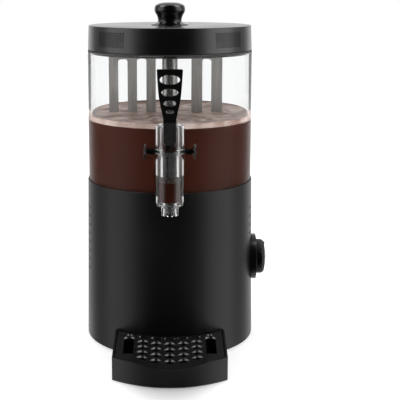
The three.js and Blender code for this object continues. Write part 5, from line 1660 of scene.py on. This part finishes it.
class DISPENSER_OT_stage(bpy.types.Operator):
    """Camera, white room, floor with a painted shadow round the dispenser, and soft lights"""

    bl_idname = "dispenser.stage"
    bl_label = "Stage"

    def execute(self, context):
        context.scene.view_settings.view_transform = "Standard"
        self.make_camera(context)
        self.make_world(context)
        self.make_floor()
        for light in LIGHTS:
            self.make_light(context, *light)
        return {"FINISHED"}

    def make_camera(self, context):
        data = bpy.data.cameras.new("camera")
        data.lens = CAMERA_LENS
        data.sensor_width = CAMERA_SENSOR
        data.shift_x, data.shift_y = CAMERA_SHIFT
        camera = bpy.data.objects.new("camera", data)
        camera.location = CAMERA_PLACE
        camera.rotation_euler = (math.radians(90 - CAMERA_PITCH_DEG), 0, 0)
        context.scene.collection.objects.link(camera)
        context.scene.camera = camera

    def make_world(self, context):
        world = bpy.data.worlds.new("white_room")
        world.use_nodes = True
        tree = world.node_tree
        heading, softboxes = room_heading(tree)
        glossy = math_node(tree, "MULTIPLY", room_level(tree, heading, GLOSSY_ROOM), softboxes)
        rays = add_node(tree, "LightPath", {}).outputs
        strength = rays["Is Camera Ray"]
        for ray, level in (
            ("Is Glossy Ray", glossy),
            ("Is Transmission Ray", room_level(tree, heading, CLEAR_ROOM)),
            ("Is Diffuse Ray", room_level(tree, heading, DIFFUSE_ROOM)),
        ):
            share = math_node(tree, "MULTIPLY", rays[ray], level)
            strength = math_node(tree, "MAXIMUM", strength, share)
        feed(tree, tree.nodes["Background"], {"Color": (1, 1, 1, 1), "Strength": strength})
        context.scene.world = world

    def make_floor(self):
        shape = bmesh.new()
        corner = (-FLOOR_HALF, -FLOOR_HALF, FLOOR_HEIGHT - 10 * MM)
        add_slab(shape, corner, (FLOOR_HALF, FLOOR_HALF, FLOOR_HEIGHT))
        floor = link_shape("floor", shape)
        material, tree, shader = new_finish("floor_white", FLOOR_COLOR, 1, 0)
        # The floor glows less near the dispenser: a painted shadow round its foot and in front of
        # the tray
        place = vector_node(tree, "MULTIPLY", coordinates(tree), PAINTED_SHADOW_SPREAD)
        away = vector_node(tree, "DISTANCE", place, PAINTED_SHADOW_MIDDLE, output="Value")
        glow_with_painted_shadow = map_range(
            tree, away, PAINTED_SHADOW_REACH, FLOOR_GLOW_WITH_PAINTED_SHADOW, interpolation_type="SMOOTHSTEP"
        )
        feed(tree, shader, {"Emission Color": (1, 1, 1, 1), "Emission Strength": glow_with_painted_shadow})
        floor.data.materials.append(material)
        floor.visible_glossy = False

    def make_light(self, context, name, place, size, watts, glossy):
        data = bpy.data.lights.new(name, "AREA")
        data.shape = "RECTANGLE"
        data.size, data.size_y = size
        data.energy = watts
        light = bpy.data.objects.new(name, data)
        light.location = place
        light.rotation_euler = (LIGHT_TARGET - Vector(place)).to_track_quat("-Z", "Y").to_euler()
        light.visible_glossy = glossy
        light.visible_diffuse = not glossy
        light.visible_transmission = False
        context.scene.collection.objects.link(light)


class DISPENSER_PT_panel(bpy.types.Panel):
    """Sidebar panel of the dispenser"""

    bl_label = "Hot drink dispenser"
    bl_idname = "DISPENSER_PT_panel"
    bl_space_type = "VIEW_3D"
    bl_region_type = "UI"
    bl_category = "Dispenser"

    def draw(self, context):
        for group in (sizes(), colours()):
            for name in group.__annotations__:
                self.layout.prop(group, name)
        for operator in OPERATORS:
            self.layout.operator(operator.bl_idname)


OPERATORS = (
    DISPENSER_OT_casing,
    DISPENSER_OT_inner_parts,
    DISPENSER_OT_dial,
    DISPENSER_OT_bowl,
    DISPENSER_OT_column,
    DISPENSER_OT_drink,
    DISPENSER_OT_stirrer,
    DISPENSER_OT_lid,
    DISPENSER_OT_knob,
    DISPENSER_OT_tap,
    DISPENSER_OT_nozzle,
    DISPENSER_OT_lever,
    DISPENSER_OT_pivot,
    DISPENSER_OT_piston,
    DISPENSER_OT_tap_drink,
    DISPENSER_OT_tray,
    DISPENSER_OT_grille,
    DISPENSER_OT_stage,
)
CLASSES = (DispenserSizes, DispenserColours, DISPENSER_PT_panel) + OPERATORS


def register():
    """Registers the classes and the scene's properties"""
    for cls in CLASSES:
        bpy.utils.register_class(cls)
    bpy.types.Scene.dispenser_sizes = bpy.props.PointerProperty(type=DispenserSizes)
    bpy.types.Scene.dispenser_colours = bpy.props.PointerProperty(type=DispenserColours)


def unregister():
    """Takes them back"""
    del bpy.types.Scene.dispenser_colours
    del bpy.types.Scene.dispenser_sizes
    for cls in reversed(CLASSES):
        bpy.utils.unregister_class(cls)


def main():
    """Builds the whole dispenser"""
    register()
    make_finishes()
    for operator in OPERATORS:
        family, word = operator.bl_idname.split(".")
        getattr(getattr(bpy.ops, family), word)()


if __name__ == "__main__":
    main()
